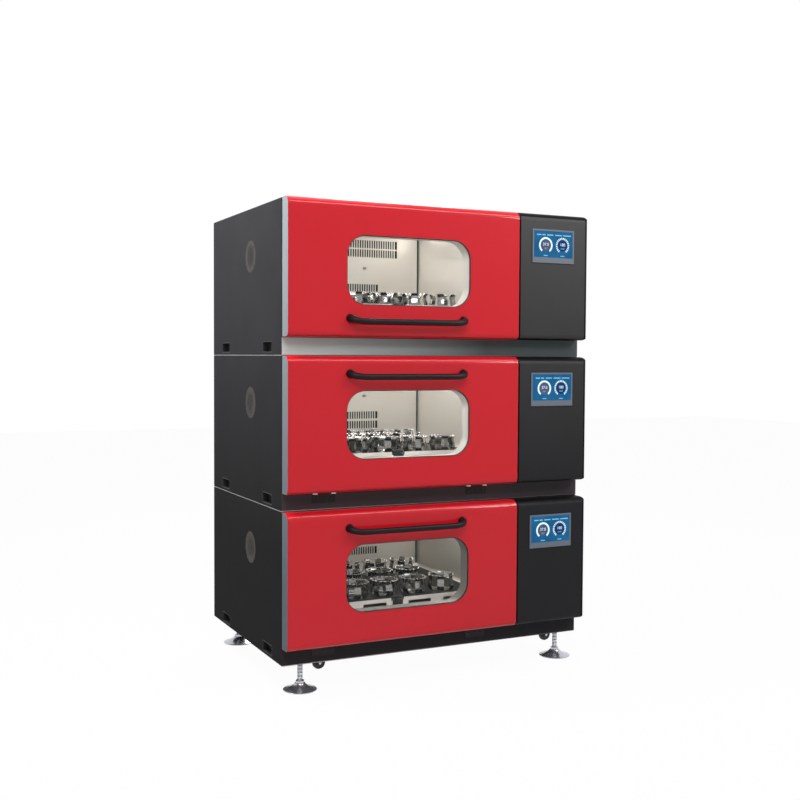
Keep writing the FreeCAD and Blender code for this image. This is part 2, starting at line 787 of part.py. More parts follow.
def idler(name, unit, crank):
    centre = CRANKS[crank]
    x, y = centre
    shaft = rod(f"{name}_shaft", "z", centre, ("shaft_low", "crank_low"), "idler_shaft")
    half = "(idler_shaft + idler_arm_edge)"
    arm_x = (f"{x} - {half}", f"{x} + orbit + {half}")
    arm_y = (f"{y} - {half}", f"{y} + {half}")
    arm = slab(f"{name}_arm", arm_x, arm_y, ("crank_low", PIN_LOW))
    return [fuse(f"{name}_idler", [shaft, arm, crank_pin(f"{name}_pin", centre)])]


# Platform and flask clamps

def platform(name, unit):
    """A tray with a notched rim and a slotted apron, on a subframe that takes the three crank pins."""
    middle = "(swing_x + orbit)"

    def across(inset):
        return (f"{middle} - deck_length / 2 + {inset}", f"{middle} + deck_length / 2 - {inset}")

    def deep(inset):
        return (f"swing_y - deck_width / 2 + {inset}", f"swing_y + deck_width / 2 - {inset}")

    block = slab(f"{name}_block", across("0"), deep("0"), ("apron_low", "rim_top"))
    above = slab(f"{name}_above", across("deck_plate"), deep("deck_plate"), ("deck_top", "rim_top"))
    below = slab(f"{name}_below", across("deck_plate"), deep("deck_plate"), ("apron_low", DECK_UNDER))
    front_y = deep("0")[0]
    front_wall = (front_y, f"{front_y} + deck_plate")
    openings = [above, below]
    notch_x = (f"{middle} - rim_notch / 2", f"{middle} + rim_notch / 2")
    openings.append(slab(f"{name}_notch", notch_x, front_wall, ("deck_top", "rim_top")))
    slot_z = ("apron_slot_low", "apron_slot_low + apron_slot_height")
    for count, out in enumerate(("-outer", "-inner", "inner", "outer")):
        slot_middle = f"{middle} + {out}_slots_out"
        slot_x = (f"{slot_middle} - apron_slot / 2", f"{slot_middle} + apron_slot / 2")
        openings.append(slab(f"{name}_slot_{count}", slot_x, front_wall, slot_z))
    tray = cut(f"{name}_tray", block, openings)
    frame_length = "(base_length - 2 * subframe_inset)"
    frame_x = (f"{middle} - {frame_length} / 2", f"{middle} + {frame_length} / 2")
    frame_y = ("swing_y - subframe_width / 2", "swing_y + subframe_width / 2")
    frame_low = f"({DECK_UNDER} - subframe_height)"
    frame = slab(f"{name}_frame", frame_x, frame_y, (frame_low, DECK_UNDER))
    holes = []
    for crank, (x, y) in CRANKS.items():
        span = (frame_low, f"{PIN_LOW} + pin_reach + pin_end_gap")
        holes.append(rod(f"{name}_{crank}_hole", "z", (f"{x} + orbit", y), span, "crank_pin + running_fit"))
    return [tray, cut(f"{name}_subframe", frame, holes)]


def clamp_finger():
    """One bent spring finger on the +X side: out to the belly of the flask, then in to its neck."""
    foot = value("clamp_half")
    belly = value("clamp_belly")
    neck = value("clamp_neck")
    low = value("clamp_plate")
    high = value("clamp_height")
    bend = value("clamp_bend")
    thick = value("finger_plate")
    half = value("finger_width") / 2
    corners = [(foot - thick, low), (foot, low), (belly, bend), (neck, high), (neck - thick, high),
               (belly - thick, bend)]
    points = [Vector(x, -half, z) for x, z in corners]
    face = Part.Face(Part.makePolygon(points + points[:1]))
    return face.extrude(Vector(0, 2 * half, 0))


def flask_clamps(name, unit):
    """Three rows of clamps on the deck, the middle row between the others."""
    half = value("clamp_half")
    plate = Part.makeBox(2 * half, 2 * half, value("clamp_plate"), Vector(-half, -half, 0))
    finger = clamp_finger()
    clamp = [plate]
    for quarter in range(4):
        clamp.append(finger.rotated(Vector(), Vector(0, 0, 1), 90 * quarter))
    clamp = Part.Compound(clamp)
    pitch = value("clamp_pitch")
    row_pitch = value("clamp_row_pitch")
    origin = Vector(value("swing_x + orbit"), value("swing_y"), value("deck_top"))
    copies = []
    for row, count in enumerate(CLAMP_ROWS):
        row_y = (row - (len(CLAMP_ROWS) - 1) / 2) * row_pitch
        for place in range(count):
            shift = Vector((place - (count - 1) / 2) * pitch, row_y, 0)
            copies.append(clamp.translated(origin + shift))
    clamps = doc.addObject("Part::Feature", f"{name}_set")
    clamps.Shape = Part.Compound(copies)
    return [clamps]


# Fan behind the air baffle

def fan(name, unit):
    """Hub, flat blades and the shaft into the motor."""
    centre = ("swing_x", "fan_height")
    span = ("fan_front", "fan_front + fan_length")
    hub = rod(f"{name}_hub", "y", centre, span, "fan_hub")
    shaft_y = ("fan_front + fan_length", "fan_motor_front + fan_shaft_in")
    solids = [hub, rod(f"{name}_shaft", "y", centre, shaft_y, "fan_shaft")]
    root = "(fan_hub - blade_root)"
    for count in range(FAN_BLADES):
        turned = 360 * count / FAN_BLADES
        blade = doc.addObject("Part::Box", f"{name}_blade_{count}")
        blade.Placement = FreeCAD.Placement(Vector(), FreeCAD.Rotation(Vector(0, 1, 0), turned))
        bind(blade, "Length", f"fan_radius - {root}")
        bind(blade, "Width", "fan_length - 2 * blade_inset")
        bind(blade, "Height", "fan_blade")
        bind(blade, "Placement.Base.x", f"swing_x + {root} * {math.cos(math.radians(turned)):.6f}")
        bind(blade, "Placement.Base.y", "fan_front + blade_inset")
        bind(blade, "Placement.Base.z", f"fan_height - {root} * {math.sin(math.radians(turned)):.6f}")
        solids.append(blade)
    return [fuse(f"{name}_impeller", solids)]


def fan_motor(name, unit):
    centre = ("swing_x", "fan_height")
    span = ("fan_motor_front", f"{BACK_INSIDE} - liner_plate")
    body = rod(f"{name}_body", "y", centre, span, "fan_motor_radius")
    bore_y = ("fan_motor_front", "fan_motor_front + fan_bore")
    bore = rod(f"{name}_bore", "y", centre, bore_y, "fan_shaft + running_fit")
    return [cut(f"{name}_housing", body, [bore])]


# Feet and castors under the bottom unit

def placed(name, solids, x, y, z):
    """A node of pieces that are modelled about their own axis."""
    group = gather(name, solids)
    group.Label = name
    bind(group, "Placement.Base.x", x)
    bind(group, "Placement.Base.y", f"{FRONT} + {y}")
    bind(group, "Placement.Base.z", z)
    return keep(group)


def foot(corner):
    """A pad with a domed top, a nut ring and the threaded stem, turned as one piece."""
    name = f"foot_{corner}"
    shoulder = "(foot_rim + foot_dome)"
    outline = [
        ("0", "0"), ("foot_radius", "0"), ("foot_radius", "foot_rim"), ("foot_nut + nut_edge", shoulder),
        ("foot_stem", shoulder), ("foot_stem", "body_lift + stem_in"), ("0", "body_lift + stem_in"),
    ]
    pad = revolved(f"{name}_turned", profile(f"{name}_outline", outline))
    nut = doc.addObject("Part::Prism", f"{name}_nut_block")
    nut.Polygon = 6
    bind(nut, "Circumradius", "foot_nut")
    bind(nut, "Height", "foot_nut_height")
    bind(nut, "Placement.Base.z", shoulder)
    x, y = CORNERS[corner][:2]
    placed(name, [fuse(f"{name}_body", [pad, nut])], x, y, "0")


def castor_fork(corner):
    """Kingpin, bridge and two cheeks that hold the axle."""
    name = f"castor_fork_{corner}"
    inner = "(wheel_width / 2 + fork_gap)"
    outer = f"({inner} + fork_plate)"
    axle_z = "-castor_drop - wheel_radius"
    top = "-castor_mount_plate - seat_gap"
    bridge_low = f"{top} - fork_plate"
    back_edge = "castor_trail - fork_boss"
    front_edge = "castor_trail + fork_boss"
    arch = [
        (back_edge, f"{axle_z} - fork_boss"), (front_edge, f"{axle_z} - fork_boss"),
        (front_edge, f"{axle_z} + fork_boss"), ("fork_top", bridge_low), ("-fork_top", bridge_low),
        (back_edge, axle_z),
    ]
    solids = []
    for way, start in (("front", f"-{outer}"), ("back", inner)):
        outline = profile(f"{name}_{way}_outline", arch)
        cheek = extruded(f"{name}_{way}", outline, Vector(0, 1, 0), "fork_plate")
        bind(cheek, "Placement.Base.y", start)
        solids.append(cheek)
    bridge = slab(f"{name}_bridge", ("-fork_top", "fork_top"), (f"-{outer}", outer), (bridge_low, top))
    pin = rod(f"{name}_kingpin", "z", ("0", "0"), (top, "0"), "kingpin")
    axle = rod(f"{name}_axle", "y", ("castor_trail", axle_z), (f"-{outer}", outer), "axle_radius")
    x, y = CORNERS[corner][2:]
    body = fuse(f"{name}_body", solids + [bridge, pin, axle])
    placed(name, [body], f"{x} - castor_trail", y, "body_lift + pan_low")


def castor_wheel(corner):
    name = f"castor_wheel_{corner}"
    span = ("-wheel_width / 2", "wheel_width / 2")
    wheel = tube(f"{name}_tyre", "y", ("0", "0"), span, "wheel_radius", "axle_radius + running_fit")
    x, y = CORNERS[corner][2:]
    placed(name, [wheel], x, y, "body_lift + pan_low - castor_drop - wheel_radius")


def base_fittings():
    """The threaded sockets of the feet and the top plates of the castors, under the bottom pan."""
    name = "base_fittings"
    solids = []
    for corner, (foot_x, foot_y, wheel_x, wheel_y) in CORNERS.items():
        span = ("pan_low - socket_length", "pan_low")
        socket_name = f"{name}_{corner}_socket"
        bore = "foot_stem + running_fit"
        solids.append(tube(socket_name, "z", (foot_x, foot_y), span, "foot_socket", bore))
        middle = f"({wheel_x} - castor_trail)"
        plate_x = (f"{middle} - castor_mount / 2", f"{middle} + castor_mount / 2")
        plate_y = (f"{wheel_y} - castor_mount / 2", f"{wheel_y} + castor_mount / 2")
        height = ("pan_low - castor_mount_plate", "pan_low")
        plate = slab(f"{name}_{corner}_plate", plate_x, plate_y, height)
        hole = rod(f"{name}_{corner}_hole", "z", (middle, wheel_y), height, "kingpin + running_fit")
        solids.append(cut(f"{name}_{corner}_top", plate, [hole]))
    keep(node(name, solids, "bottom"))


# The stack
for unit in UNITS:
    keep(node(f"{unit}_cabinet", cabinet(f"{unit}_cabinet", unit), unit))

for name, make in (
    ("chamber_liners", chamber_liner),
    ("air_baffles", air_baffle),
    ("access_ports", access_port),
    ("port_plugs", port_plug),
    ("chamber_lamps", chamber_lamp),
    ("control_panels", control_panel),
    ("touchscreens", touchscreen),
    ("power_inlets", power_inlet),
    ("door_hinges", door_hinges),
    ("drive_bases", drive_base),
    ("drive_motors", drive_motor),
    ("fan_motors", fan_motor),
):
    for_each_unit(name, make)

for unit in UNITS:
    for name, make in (
        ("door_shell", door_shell),
        ("door_liner", door_liner),
        ("door_glass", door_glass),
        ("door_handle", door_handle),
        ("platform", platform),
        ("flask_clamps", flask_clamps),
        ("main_crank", main_crank),
        ("fan", fan),
    ):
        full_name = f"{unit}_{name}"
        keep(node(full_name, make(full_name, unit), unit))
    for crank in ("idler_left", "idler_right"):
        full_name = f"{unit}_{crank}"
        keep(node(full_name, idler(full_name, unit, crank), unit))

base_fittings()
for corner in CORNERS:
    foot(corner)
    castor_fork(corner)
    castor_wheel(corner)

doc.recompute()

for item in doc.Objects:
    if "Invalid" in item.State or "Error" in item.State:
        raise RuntimeError(f"{item.Name} did not build: {item.State}")
for group in NODES:
    if group.Shape.isNull() or not group.Shape.isValid():
        raise RuntimeError(f"{group.Label} has no valid shape")

os.makedirs("parts", exist_ok=True)
for group in NODES:
    group.Shape.exportStep(f"parts/{group.Label}.step")
    print(group.Label, len(group.Shape.Solids), round(group.Shape.Volume))
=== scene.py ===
import bmesh
import bpy
import math
from mathutils import Matrix, Vector


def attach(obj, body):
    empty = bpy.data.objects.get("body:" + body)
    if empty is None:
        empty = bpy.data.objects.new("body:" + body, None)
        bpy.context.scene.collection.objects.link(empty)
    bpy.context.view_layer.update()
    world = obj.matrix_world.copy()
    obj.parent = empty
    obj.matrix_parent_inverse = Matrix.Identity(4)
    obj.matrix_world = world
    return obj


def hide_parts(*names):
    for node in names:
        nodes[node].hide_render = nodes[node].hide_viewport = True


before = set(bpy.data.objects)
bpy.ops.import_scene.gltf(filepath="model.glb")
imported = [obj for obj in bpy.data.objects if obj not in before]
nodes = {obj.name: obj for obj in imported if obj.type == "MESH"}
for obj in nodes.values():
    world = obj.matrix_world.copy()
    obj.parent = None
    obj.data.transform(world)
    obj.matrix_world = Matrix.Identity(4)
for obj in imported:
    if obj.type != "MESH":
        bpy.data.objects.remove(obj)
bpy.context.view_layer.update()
print("frame loaded:", len(nodes), "nodes")

# The stack, in millimetres. Each unit is laid out in its own numbers:
# X from the middle, Y from the front of the cabinet, Z above the unit's bottom.
stack = {"names": ("bottom", "middle", "top"), "height": 553, "lift": 105, "front": -365.5}


def place(unit, x, y, z):
    level = stack["lift"] + stack["height"] * stack["names"].index(unit)
    return Vector((x, y + stack["front"], z + level)) / 1000


def mm(*numbers):
    return tuple(number / 1000 for number in numbers)


def newObject(name, data):
    made = bpy.data.objects.new(name, data)
    bpy.context.scene.collection.objects.link(made)
    return made


# Camera at the photograph's place
camera = {"place": (-1.9286, -4.0058, 1.2053), "lens": 49.24, "sensor": 36, "far": 60,
          "yaw": 25.880, "pitch": 2.229, "roll": 0.296}


def setCamera():
    yaw, pitch, roll = (math.radians(camera[key]) for key in ("yaw", "pitch", "roll"))
    ahead = Vector((math.sin(yaw) * math.cos(pitch), math.cos(yaw) * math.cos(pitch), -math.sin(pitch)))
    level = Vector((math.cos(yaw), -math.sin(yaw), 0))
    above = level.cross(ahead)
    right = math.cos(roll) * level + math.sin(roll) * above
    up = math.cos(roll) * above - math.sin(roll) * level
    lens = bpy.data.cameras.new("photoCamera")
    lens.lens, lens.sensor_width, lens.clip_end = camera["lens"], camera["sensor"], camera["far"]
    eye = newObject("photoCamera", lens)
    turn = Matrix((right, up, -ahead)).transposed().to_4x4()
    eye.matrix_world = Matrix.Translation(camera["place"]) @ turn
    bpy.context.scene.camera = eye


setCamera()


# Shader nodes

def addNode(tree, kind, settings=None, inputs=None):
    node = tree.nodes.new(kind)
    for key, value in (settings or {}).items():
        setattr(node, key, value)
    for key, value in (inputs or {}).items():
        if isinstance(value, bpy.types.NodeSocket):
            tree.links.new(value, node.inputs[key])
        else:
            node.inputs[key].default_value = value
    return node


def feed(tree, node, values):
    for key, value in values.items():
        tree.links.new(value, node.inputs[key])


def newGroup(name, ins):
    group = bpy.data.node_groups.new(name, "ShaderNodeTree")
    kinds = {"c": "NodeSocketColor", "f": "NodeSocketFloat", "v": "NodeSocketVector"}
    for title, kind, start in ins:
        socket = group.interface.new_socket(name=title, in_out="INPUT", socket_type=kinds[kind])
        socket.default_value = start
    for title, kind in (("Colour", "c"), ("Roughness", "f"), ("Height", "f")):
        group.interface.new_socket(name=title, in_out="OUTPUT", socket_type=kinds[kind])
    return group, addNode(group, "NodeGroupInput").outputs, addNode(group, "NodeGroupOutput")


def mathNode(tree, work, *values):
    return addNode(tree, "ShaderNodeMath", {"operation": work}, dict(enumerate(values))).outputs[0]


def mixColour(tree, share, first, second, blend="MIX"):
    return addNode(tree, "ShaderNodeMix", {"data_type": "RGBA", "blend_type": blend},
                   {0: share, 6: first, 7: second}).outputs[2]


def objectSpot(tree):
    return addNode(tree, "ShaderNodeTexCoord").outputs["Object"]


def noise(tree, spot, scale, detail, rough=0.5):
    return addNode(tree, "ShaderNodeTexNoise", None, {
        "Vector": spot, "Scale": scale, "Detail": detail, "Roughness": rough}).outputs["Fac"]


def speckledCoatGroup():
    # Powder coat: a fine pebbled skin over slow clouding, and a few rubbed places
    group, given, end = newGroup("speckledCoat", [
        ("Colour", "c", (0.1, 0.1, 0.1, 1)), ("Second colour", "c", (0.2, 0.2, 0.2, 1)), ("Pebble scale", "f", 900),
        ("Speckle", "f", 0.3), ("Roughness", "f", 0.5), ("Rubbed", "f", 0.1)])
    spot = objectSpot(group)
    pebbles = noise(group, spot, given["Pebble scale"], 2.0, 0.6)
    clouds = noise(group, spot, 5.0, 4.0)
    share = mathNode(group, "MULTIPLY", mathNode(group, "GREATER_THAN", pebbles, 0.6), given["Speckle"])
    cloudy = mathNode(group, "MULTIPLY_ADD", clouds, 0.3, share)
    colour = mixColour(group, mathNode(group, "SUBTRACT", cloudy, 0.12), given["Colour"], given["Second colour"])
    rubs = addNode(group, "ShaderNodeMapRange", None, {"Value": clouds, "From Min": 0.5, "From Max": 0.7})
    rubbed = mathNode(group, "MULTIPLY", rubs.outputs[0], given["Rubbed"])
    rough = mathNode(group, "ADD", given["Roughness"], rubbed)
    feed(group, end, {"Colour": colour, "Roughness": rough, "Height": pebbles})
    return group


def brushedSheetGroup():
    # Rolled sheet: long fine streaks and soft stains along them; on the clamps the dark streaks are painted
    # reflections
    group, given, end = newGroup("brushedSheet", [
        ("Colour", "c", (0.6, 0.6, 0.6, 1)), ("Second colour", "c", (0.5, 0.5, 0.5, 1)),
        ("Stretch", "v", (3, 3, 600)), ("Streaks", "f", 0.4), ("Roughness", "f", 0.3), ("Stain", "f", 0.1)])
    spot = objectSpot(group)
    along = addNode(group, "ShaderNodeVectorMath", {"operation": "MULTIPLY"}, {0: spot, 1: given["Stretch"]})
    streaksAndReflections = noise(group, along.outputs[0], 1.0, 3.0, 0.7)
    stains = noise(group, spot, 7.0, 3.0)
    share = mathNode(group, "MULTIPLY", streaksAndReflections, given["Streaks"])
    colour = mixColour(group, share, given["Colour"], given["Second colour"])
    rough = mathNode(group, "ADD", given["Roughness"], mathNode(group, "MULTIPLY", stains, given["Stain"]))
    feed(group, end, {"Colour": colour, "Roughness": rough, "Height": streaksAndReflections})
    return group


speckledCoat = speckledCoatGroup()
brushedSheet = brushedSheetGroup()
shaderWords = {"metal": "Metallic", "shine": "Specular IOR Level", "coat": "Coat Weight",
               "coatRough": "Coat Roughness"}


def newMaterial(name, values):
    material = bpy.data.materials.new(name)
    material.use_nodes = True
    shader = material.node_tree.nodes["Principled BSDF"]
    for key, value in values.items():
        shader.inputs[key].default_value = value
    return material, material.node_tree, shader


def finishMaterial(name, look):
    # Grain holds the scale of pebbles or the stretch of streaks, their strength, and the wear
    material, tree, shader = newMaterial(name, {word: look[key] for key, word in shaderWords.items() if key in look})
    grain, amount, wear = look["grain"]
    inputs = {"Colour": look["colour"] + (1,), "Second colour": look["second"] + (1,), "Roughness": look["rough"]}
    if isinstance(grain, tuple):
        inputs.update({"Stretch": grain, "Streaks": amount, "Stain": wear})
        skin = addNode(tree, "ShaderNodeGroup", {"node_tree": brushedSheet}, inputs).outputs
    else:
        inputs.update({"Pebble scale": grain, "Speckle": amount, "Rubbed": wear})
        skin = addNode(tree, "ShaderNodeGroup", {"node_tree": speckledCoat}, inputs).outputs
    colour = skin["Colour"]
    if "paintedLightFade" in look:
        # Painted light and shade: the colour is multiplied towards a darker tone along one axis of the stack
        axis, start, end = look["paintedLightFade"]
        axes = addNode(tree, "ShaderNodeSeparateXYZ", None, {0: objectSpot(tree)})
        along = addNode(tree, "ShaderNodeMapRange", None, {
            "Value": axes.outputs[axis], "From Min": start, "From Max": end})
        colour = mixColour(tree, along.outputs[0], colour, look["paintedLightTone"] + (1,), "MULTIPLY")
    strength, depth = look["bump"]
    bump = addNode(tree, "ShaderNodeBump", None, {"Height": skin["Height"], "Strength": strength, "Distance": depth})
    feed(tree, shader, {"Base Color": colour, "Roughness": skin["Roughness"], "Normal": bump.outputs[0]})
    return material


# What each finish looks like: colours are linear, painted-light fades and depths in metres
looks = {
    # The cabinet paint darkens towards the bottom of the stack: painted shade
    "graphitePaint": {
        "colour": (0.033, 0.0325, 0.035), "second": (0.085, 0.083, 0.09), "rough": 0.55, "grain": (520, 0.22, 0.1),
        "bump": (0.2, 0.0003), "shine": 0.005, "paintedLightFade": ("Z", 1.3, 0.5), "paintedLightTone": (0.5, 0.5, 0.48)},
    "panelPaint": {
        "colour": (0.004, 0.004, 0.0045), "second": (0.01, 0.01, 0.011), "rough": 0.36, "grain": (700, 0.16, 0.08),
        "bump": (0.12, 0.0003), "shine": 0.06},
    # The panel face is lighter than the panel's near-black paint and darkens downwards: painted light and painted
    # shade
    "panelFacePaintedLight": {
        "colour": (0.048, 0.047, 0.048), "second": (0.08, 0.079, 0.084), "rough": 0.44, "grain": (620, 0.2, 0.08),
        "bump": (0.2, 0.0003), "shine": 0.1, "paintedLightFade": ("Z", 1.75, 0.7), "paintedLightTone": (0.26, 0.27, 0.29)},
    # Painted reflection: the light grey-blue seen on the doors' glossy sides, darker towards the bottom as painted
    # shade
    "edgeReflectionTrim": {
        "colour": (0.27, 0.31, 0.33), "second": (0.2, 0.24, 0.26), "rough": 0.45, "grain": ((300, 300, 4), 0.5, 0.1),
        "bump": (0.05, 0.0002), "shine": 0.03, "paintedLightFade": ("Z", 1.45, 0.4), "paintedLightTone": (0.38, 0.42, 0.46)},
    "redDoorPaint": {
        "colour": (0.5, 0.006, 0.014), "second": (0.43, 0.006, 0.013), "rough": 0.32, "grain": (500, 0.1, 0.05),
        "bump": (0.05, 0.0003), "shine": 0.06, "coat": 0.45, "coatRough": 0.06},
    "chamberSteel": {
        "colour": (0.76, 0.72, 0.66), "second": (0.64, 0.61, 0.56), "rough": 0.3,
        "grain": ((2.5, 2.5, 500), 0.5, 0.12), "bump": (0.1, 0.0002), "metal": 0.45},
    "trimSteel": {
        "colour": (0.86, 0.82, 0.77), "second": (0.74, 0.71, 0.67), "rough": 0.34,
        "grain": ((4, 400, 400), 0.4, 0.08), "bump": (0.08, 0.0002), "metal": 0.15},
    # Darkened steel streaked with a near-black second colour: painted dark reflections on the clamps
    "clampSteel": {
        "colour": (0.42, 0.41, 0.39), "second": (0.06, 0.06, 0.06), "rough": 0.1, "grain": ((60, 60, 300), 0.9, 0.1),
        "bump": (0.1, 0.0002), "metal": 1.0},
    "brightWire": {
        "colour": (0.92, 0.9, 0.87), "second": (0.72, 0.7, 0.68), "rough": 0.18,
        "grain": ((300, 300, 300), 0.5, 0.08), "bump": (0.05, 0.0001), "metal": 0.75},
    "gripMat": {
        "colour": (0.004, 0.005, 0.005), "second": (0.016, 0.018, 0.017), "rough": 0.4, "grain": (420, 0.35, 0.2),
        "bump": (0.4, 0.0005), "shine": 0.15},
    # The window linings darken towards the bottom of the stack: painted shade
    "revealSteel": {
        "colour": (0.7, 0.67, 0.62), "second": (0.58, 0.55, 0.51), "rough": 0.34,
        "grain": ((2.5, 2.5, 500), 0.5, 0.12), "bump": (0.08, 0.0002), "metal": 0.2, "paintedLightFade": ("Z", 0.95, 0.6),
        "paintedLightTone": (0.42, 0.42, 0.42)},
    # Lower units' band: a shaded copy of the top one, darker towards the bottom: painted shade
    "plinthDark": {
        "colour": (0.06, 0.052, 0.058), "second": (0.084, 0.074, 0.08), "rough": 0.42, "grain": (700, 0.16, 0.08),
        "bump": (0.15, 0.0002), "shine": 0.05, "paintedLightFade": ("Z", 0.66, 0.17), "paintedLightTone": (0.42, 0.46, 0.46)},
    # Top unit's band: a lit copy, lighter towards the left: painted reflection
    "plinthBrushed": {
        "colour": (0.54, 0.68, 0.65), "second": (0.42, 0.53, 0.51), "rough": 0.38,
        "grain": ((4, 400, 400), 0.5, 0.08), "bump": (0.08, 0.0002), "metal": 0.1, "shine": 0.15,
        "paintedLightFade": ("X", -0.58, 0.2), "paintedLightTone": (0.13, 0.13, 0.14)},
    # Light band edges, darker towards the right: painted reflection
    "plinthEdge": {
        "colour": (0.5, 0.42, 0.4), "second": (0.38, 0.33, 0.32), "rough": 0.34, "grain": ((4, 400, 400), 0.4, 0.08),
        "bump": (0.08, 0.0002), "metal": 0.1, "paintedLightFade": ("X", -0.6, 0.31), "paintedLightTone": (0.22, 0.23, 0.24)},
    # Near-black green sheets behind the baffle's slots and at its ends: painted shade
    "baffleShadeGreen": {
        "colour": (0.012, 0.03, 0.03), "second": (0.035, 0.065, 0.065), "rough": 0.7, "grain": (900, 0.4, 0.05),
        "bump": (0.6, 0.0008), "shine": 0.05},
    "machinedSteel": {
        "colour": (0.42, 0.42, 0.43), "second": (0.3, 0.3, 0.31), "rough": 0.32,
        "grain": ((300, 300, 1200), 0.5, 0.12), "bump": (0.15, 0.0002), "metal": 0.95},
    "motorPaint": {
        "colour": (0.05, 0.055, 0.06), "second": (0.09, 0.09, 0.1), "rough": 0.5, "grain": (900, 0.3, 0.1),
        "bump": (0.3, 0.0004), "shine": 0.4},
    "fanMetal": {
        "colour": (0.55, 0.56, 0.58), "second": (0.42, 0.43, 0.45), "rough": 0.35,
        "grain": ((200, 200, 200), 0.5, 0.15), "bump": (0.1, 0.0002), "metal": 0.9},
    "handleBlack": {
        "colour": (0.006, 0.004, 0.005), "second": (0.016, 0.009, 0.011), "rough": 0.28,
        "grain": ((8, 500, 500), 0.5, 0.1), "bump": (0.05, 0.0002), "shine": 0.14},
    "portMetal": {
        "colour": (0.046, 0.039, 0.034), "second": (0.105, 0.09, 0.078), "rough": 0.45, "grain": (420, 0.35, 0.15),
        "bump": (0.3, 0.0003), "shine": 0.05},
    "softRubber": {
        "colour": (0.018, 0.018, 0.019), "second": (0.05, 0.05, 0.05), "rough": 0.62, "grain": (1200, 0.25, 0.15),
        "bump": (0.35, 0.0003), "shine": 0.3},
    "blackPlastic": {
        "colour": (0.016, 0.018, 0.018), "second": (0.04, 0.045, 0.045), "rough": 0.36, "grain": (1500, 0.2, 0.15),
        "bump": (0.2, 0.0002), "shine": 0.45},
    "bezelPlastic": {
        "colour": (0.115, 0.135, 0.165), "second": (0.16, 0.18, 0.21), "rough": 0.45, "grain": (1400, 0.2, 0.08),
        "bump": (0.15, 0.0002), "shine": 0.25},
    "hingePaint": {
        "colour": (0.026, 0.022, 0.023), "second": (0.07, 0.062, 0.064), "rough": 0.42, "grain": (900, 0.2, 0.15),
        "bump": (0.2, 0.0002), "shine": 0.12},
    "brightZinc": {
        "colour": (0.6, 0.61, 0.65), "second": (0.4, 0.4, 0.44), "rough": 0.15, "grain": ((60, 60, 120), 0.7, 0.12),
        "bump": (0.15, 0.0003), "metal": 0.85},
    "seamGrey": {
        "colour": (0.34, 0.34, 0.35), "second": (0.44, 0.44, 0.45), "rough": 0.5, "grain": (900, 0.2, 0.1),
        "bump": (0.2, 0.0002), "shine": 0.4},
}
finishes = {name: finishMaterial(name, look) for name, look in looks.items()}


def clearGlass():
    material, tree, shader = newMaterial("windowGlass", {"Metallic": 0.0, "Specular IOR Level": 0.3})
    haze = noise(tree, objectSpot(tree), 4.0, 3.0)
    feed(tree, shader, {
        "Base Color": mixColour(tree, haze, (0.22, 0.26, 0.25, 1), (0.34, 0.38, 0.37, 1)),
        "Alpha": mathNode(tree, "MULTIPLY_ADD", haze, 0.010, 0.006),
        "Roughness": mathNode(tree, "MULTIPLY_ADD", haze, 0.06, 0.0)})
    return material


def lampLight():
    material, tree, shader = newMaterial("lampDiffuser", {
        "Base Color": (0.9, 0.9, 0.88, 1), "Roughness": 0.4, "Emission Strength": 7.0})
    ribs = addNode(tree, "ShaderNodeTexWave", {"bands_direction": "Y"}, {
        "Vector": objectSpot(tree), "Scale": 60.0, "Distortion": 0.2})
    glow = mixColour(tree, ribs.outputs["Fac"], (1.0, 0.98, 0.93, 1), (0.86, 0.84, 0.80, 1))
    feed(tree, shader, {"Emission Color": glow})
    return material


def displayMaterial(name, low, high, strength):
    # A lit layer of the touch panel, with soft clouds between two tones
    material, tree, shader = newMaterial(name, {
        "Roughness": 0.3, "Specular IOR Level": 0.05, "Emission Strength": strength})
    shade = mixColour(tree, noise(tree, objectSpot(tree), 22.0, 3.0), low + (1,), high + (1,))
    feed(tree, shader, {"Base Color": mixColour(tree, 0.85, shade, (0, 0, 0, 1)), "Emission Color": shade})
    return material


displays = {
    "displayBlue": ((0.004, 0.07, 0.20), (0.02, 0.16, 0.34), 0.85),
    "displayWhite": ((0.66, 0.92, 0.95), (0.80, 1.0, 1.0), 0.95),
    "displayDeep": ((0.006, 0.02, 0.13), (0.012, 0.05, 0.19), 0.8),
    "displayGrey": ((0.06, 0.07, 0.14), (0.13, 0.12, 0.24), 0.8),
    "displayPale": ((0.16, 0.45, 0.70), (0.30, 0.66, 0.85), 0.9),
}
finishes["windowGlass"] = clearGlass()
finishes["lampDiffuser"] = lampLight()
for name, (low, high, strength) in displays.items():
    finishes[name] = displayMaterial(name, low, high, strength)
print("finishes made:", len(finishes))

# The finish of each CAD node, by the material slot that the record gives it
slotFinish = {
    "graphite_paint": "graphitePaint", "red_paint": "redDoorPaint", "stainless": "chamberSteel",
    "spring_steel": "clampSteel", "machined_steel": "machinedSteel", "motor_housing": "motorPaint",
    "fan_aluminium": "fanMetal", "window_glass": "windowGlass", "black_bar": "handleBlack",
    "port_steel": "portMetal", "black_rubber": "softRubber", "lamp_diffuser": "lampDiffuser",
    "screen_plastic": "bezelPlastic", "black_plastic": "blackPlastic", "hinge_steel": "hingePaint",
    "bright_zinc": "brightZinc",
}
nodeFinish = {"control_panels": "panelPaint", "port_plugs": "gripMat", "bottom_platform": "trimSteel",
              "middle_platform": "trimSteel", "top_platform": "trimSteel"}
finishSlot = {finish: slot for slot, finish in slotFinish.items()}
for slot, names in (("stainless", ("trimSteel", "revealSteel", "plinthBrushed", "plinthEdge")),
                    ("graphite_paint", ("panelPaint", "panelFacePaintedLight", "plinthDark")), ("port_steel", ("edgeReflectionTrim",)),
                    ("black_rubber", ("seamGrey", "gripMat")), ("spring_steel", ("brightWire",)),
                    ("black_plastic", ("baffleShadeGreen",))):
    finishSlot.update(dict.fromkeys(names, slot))
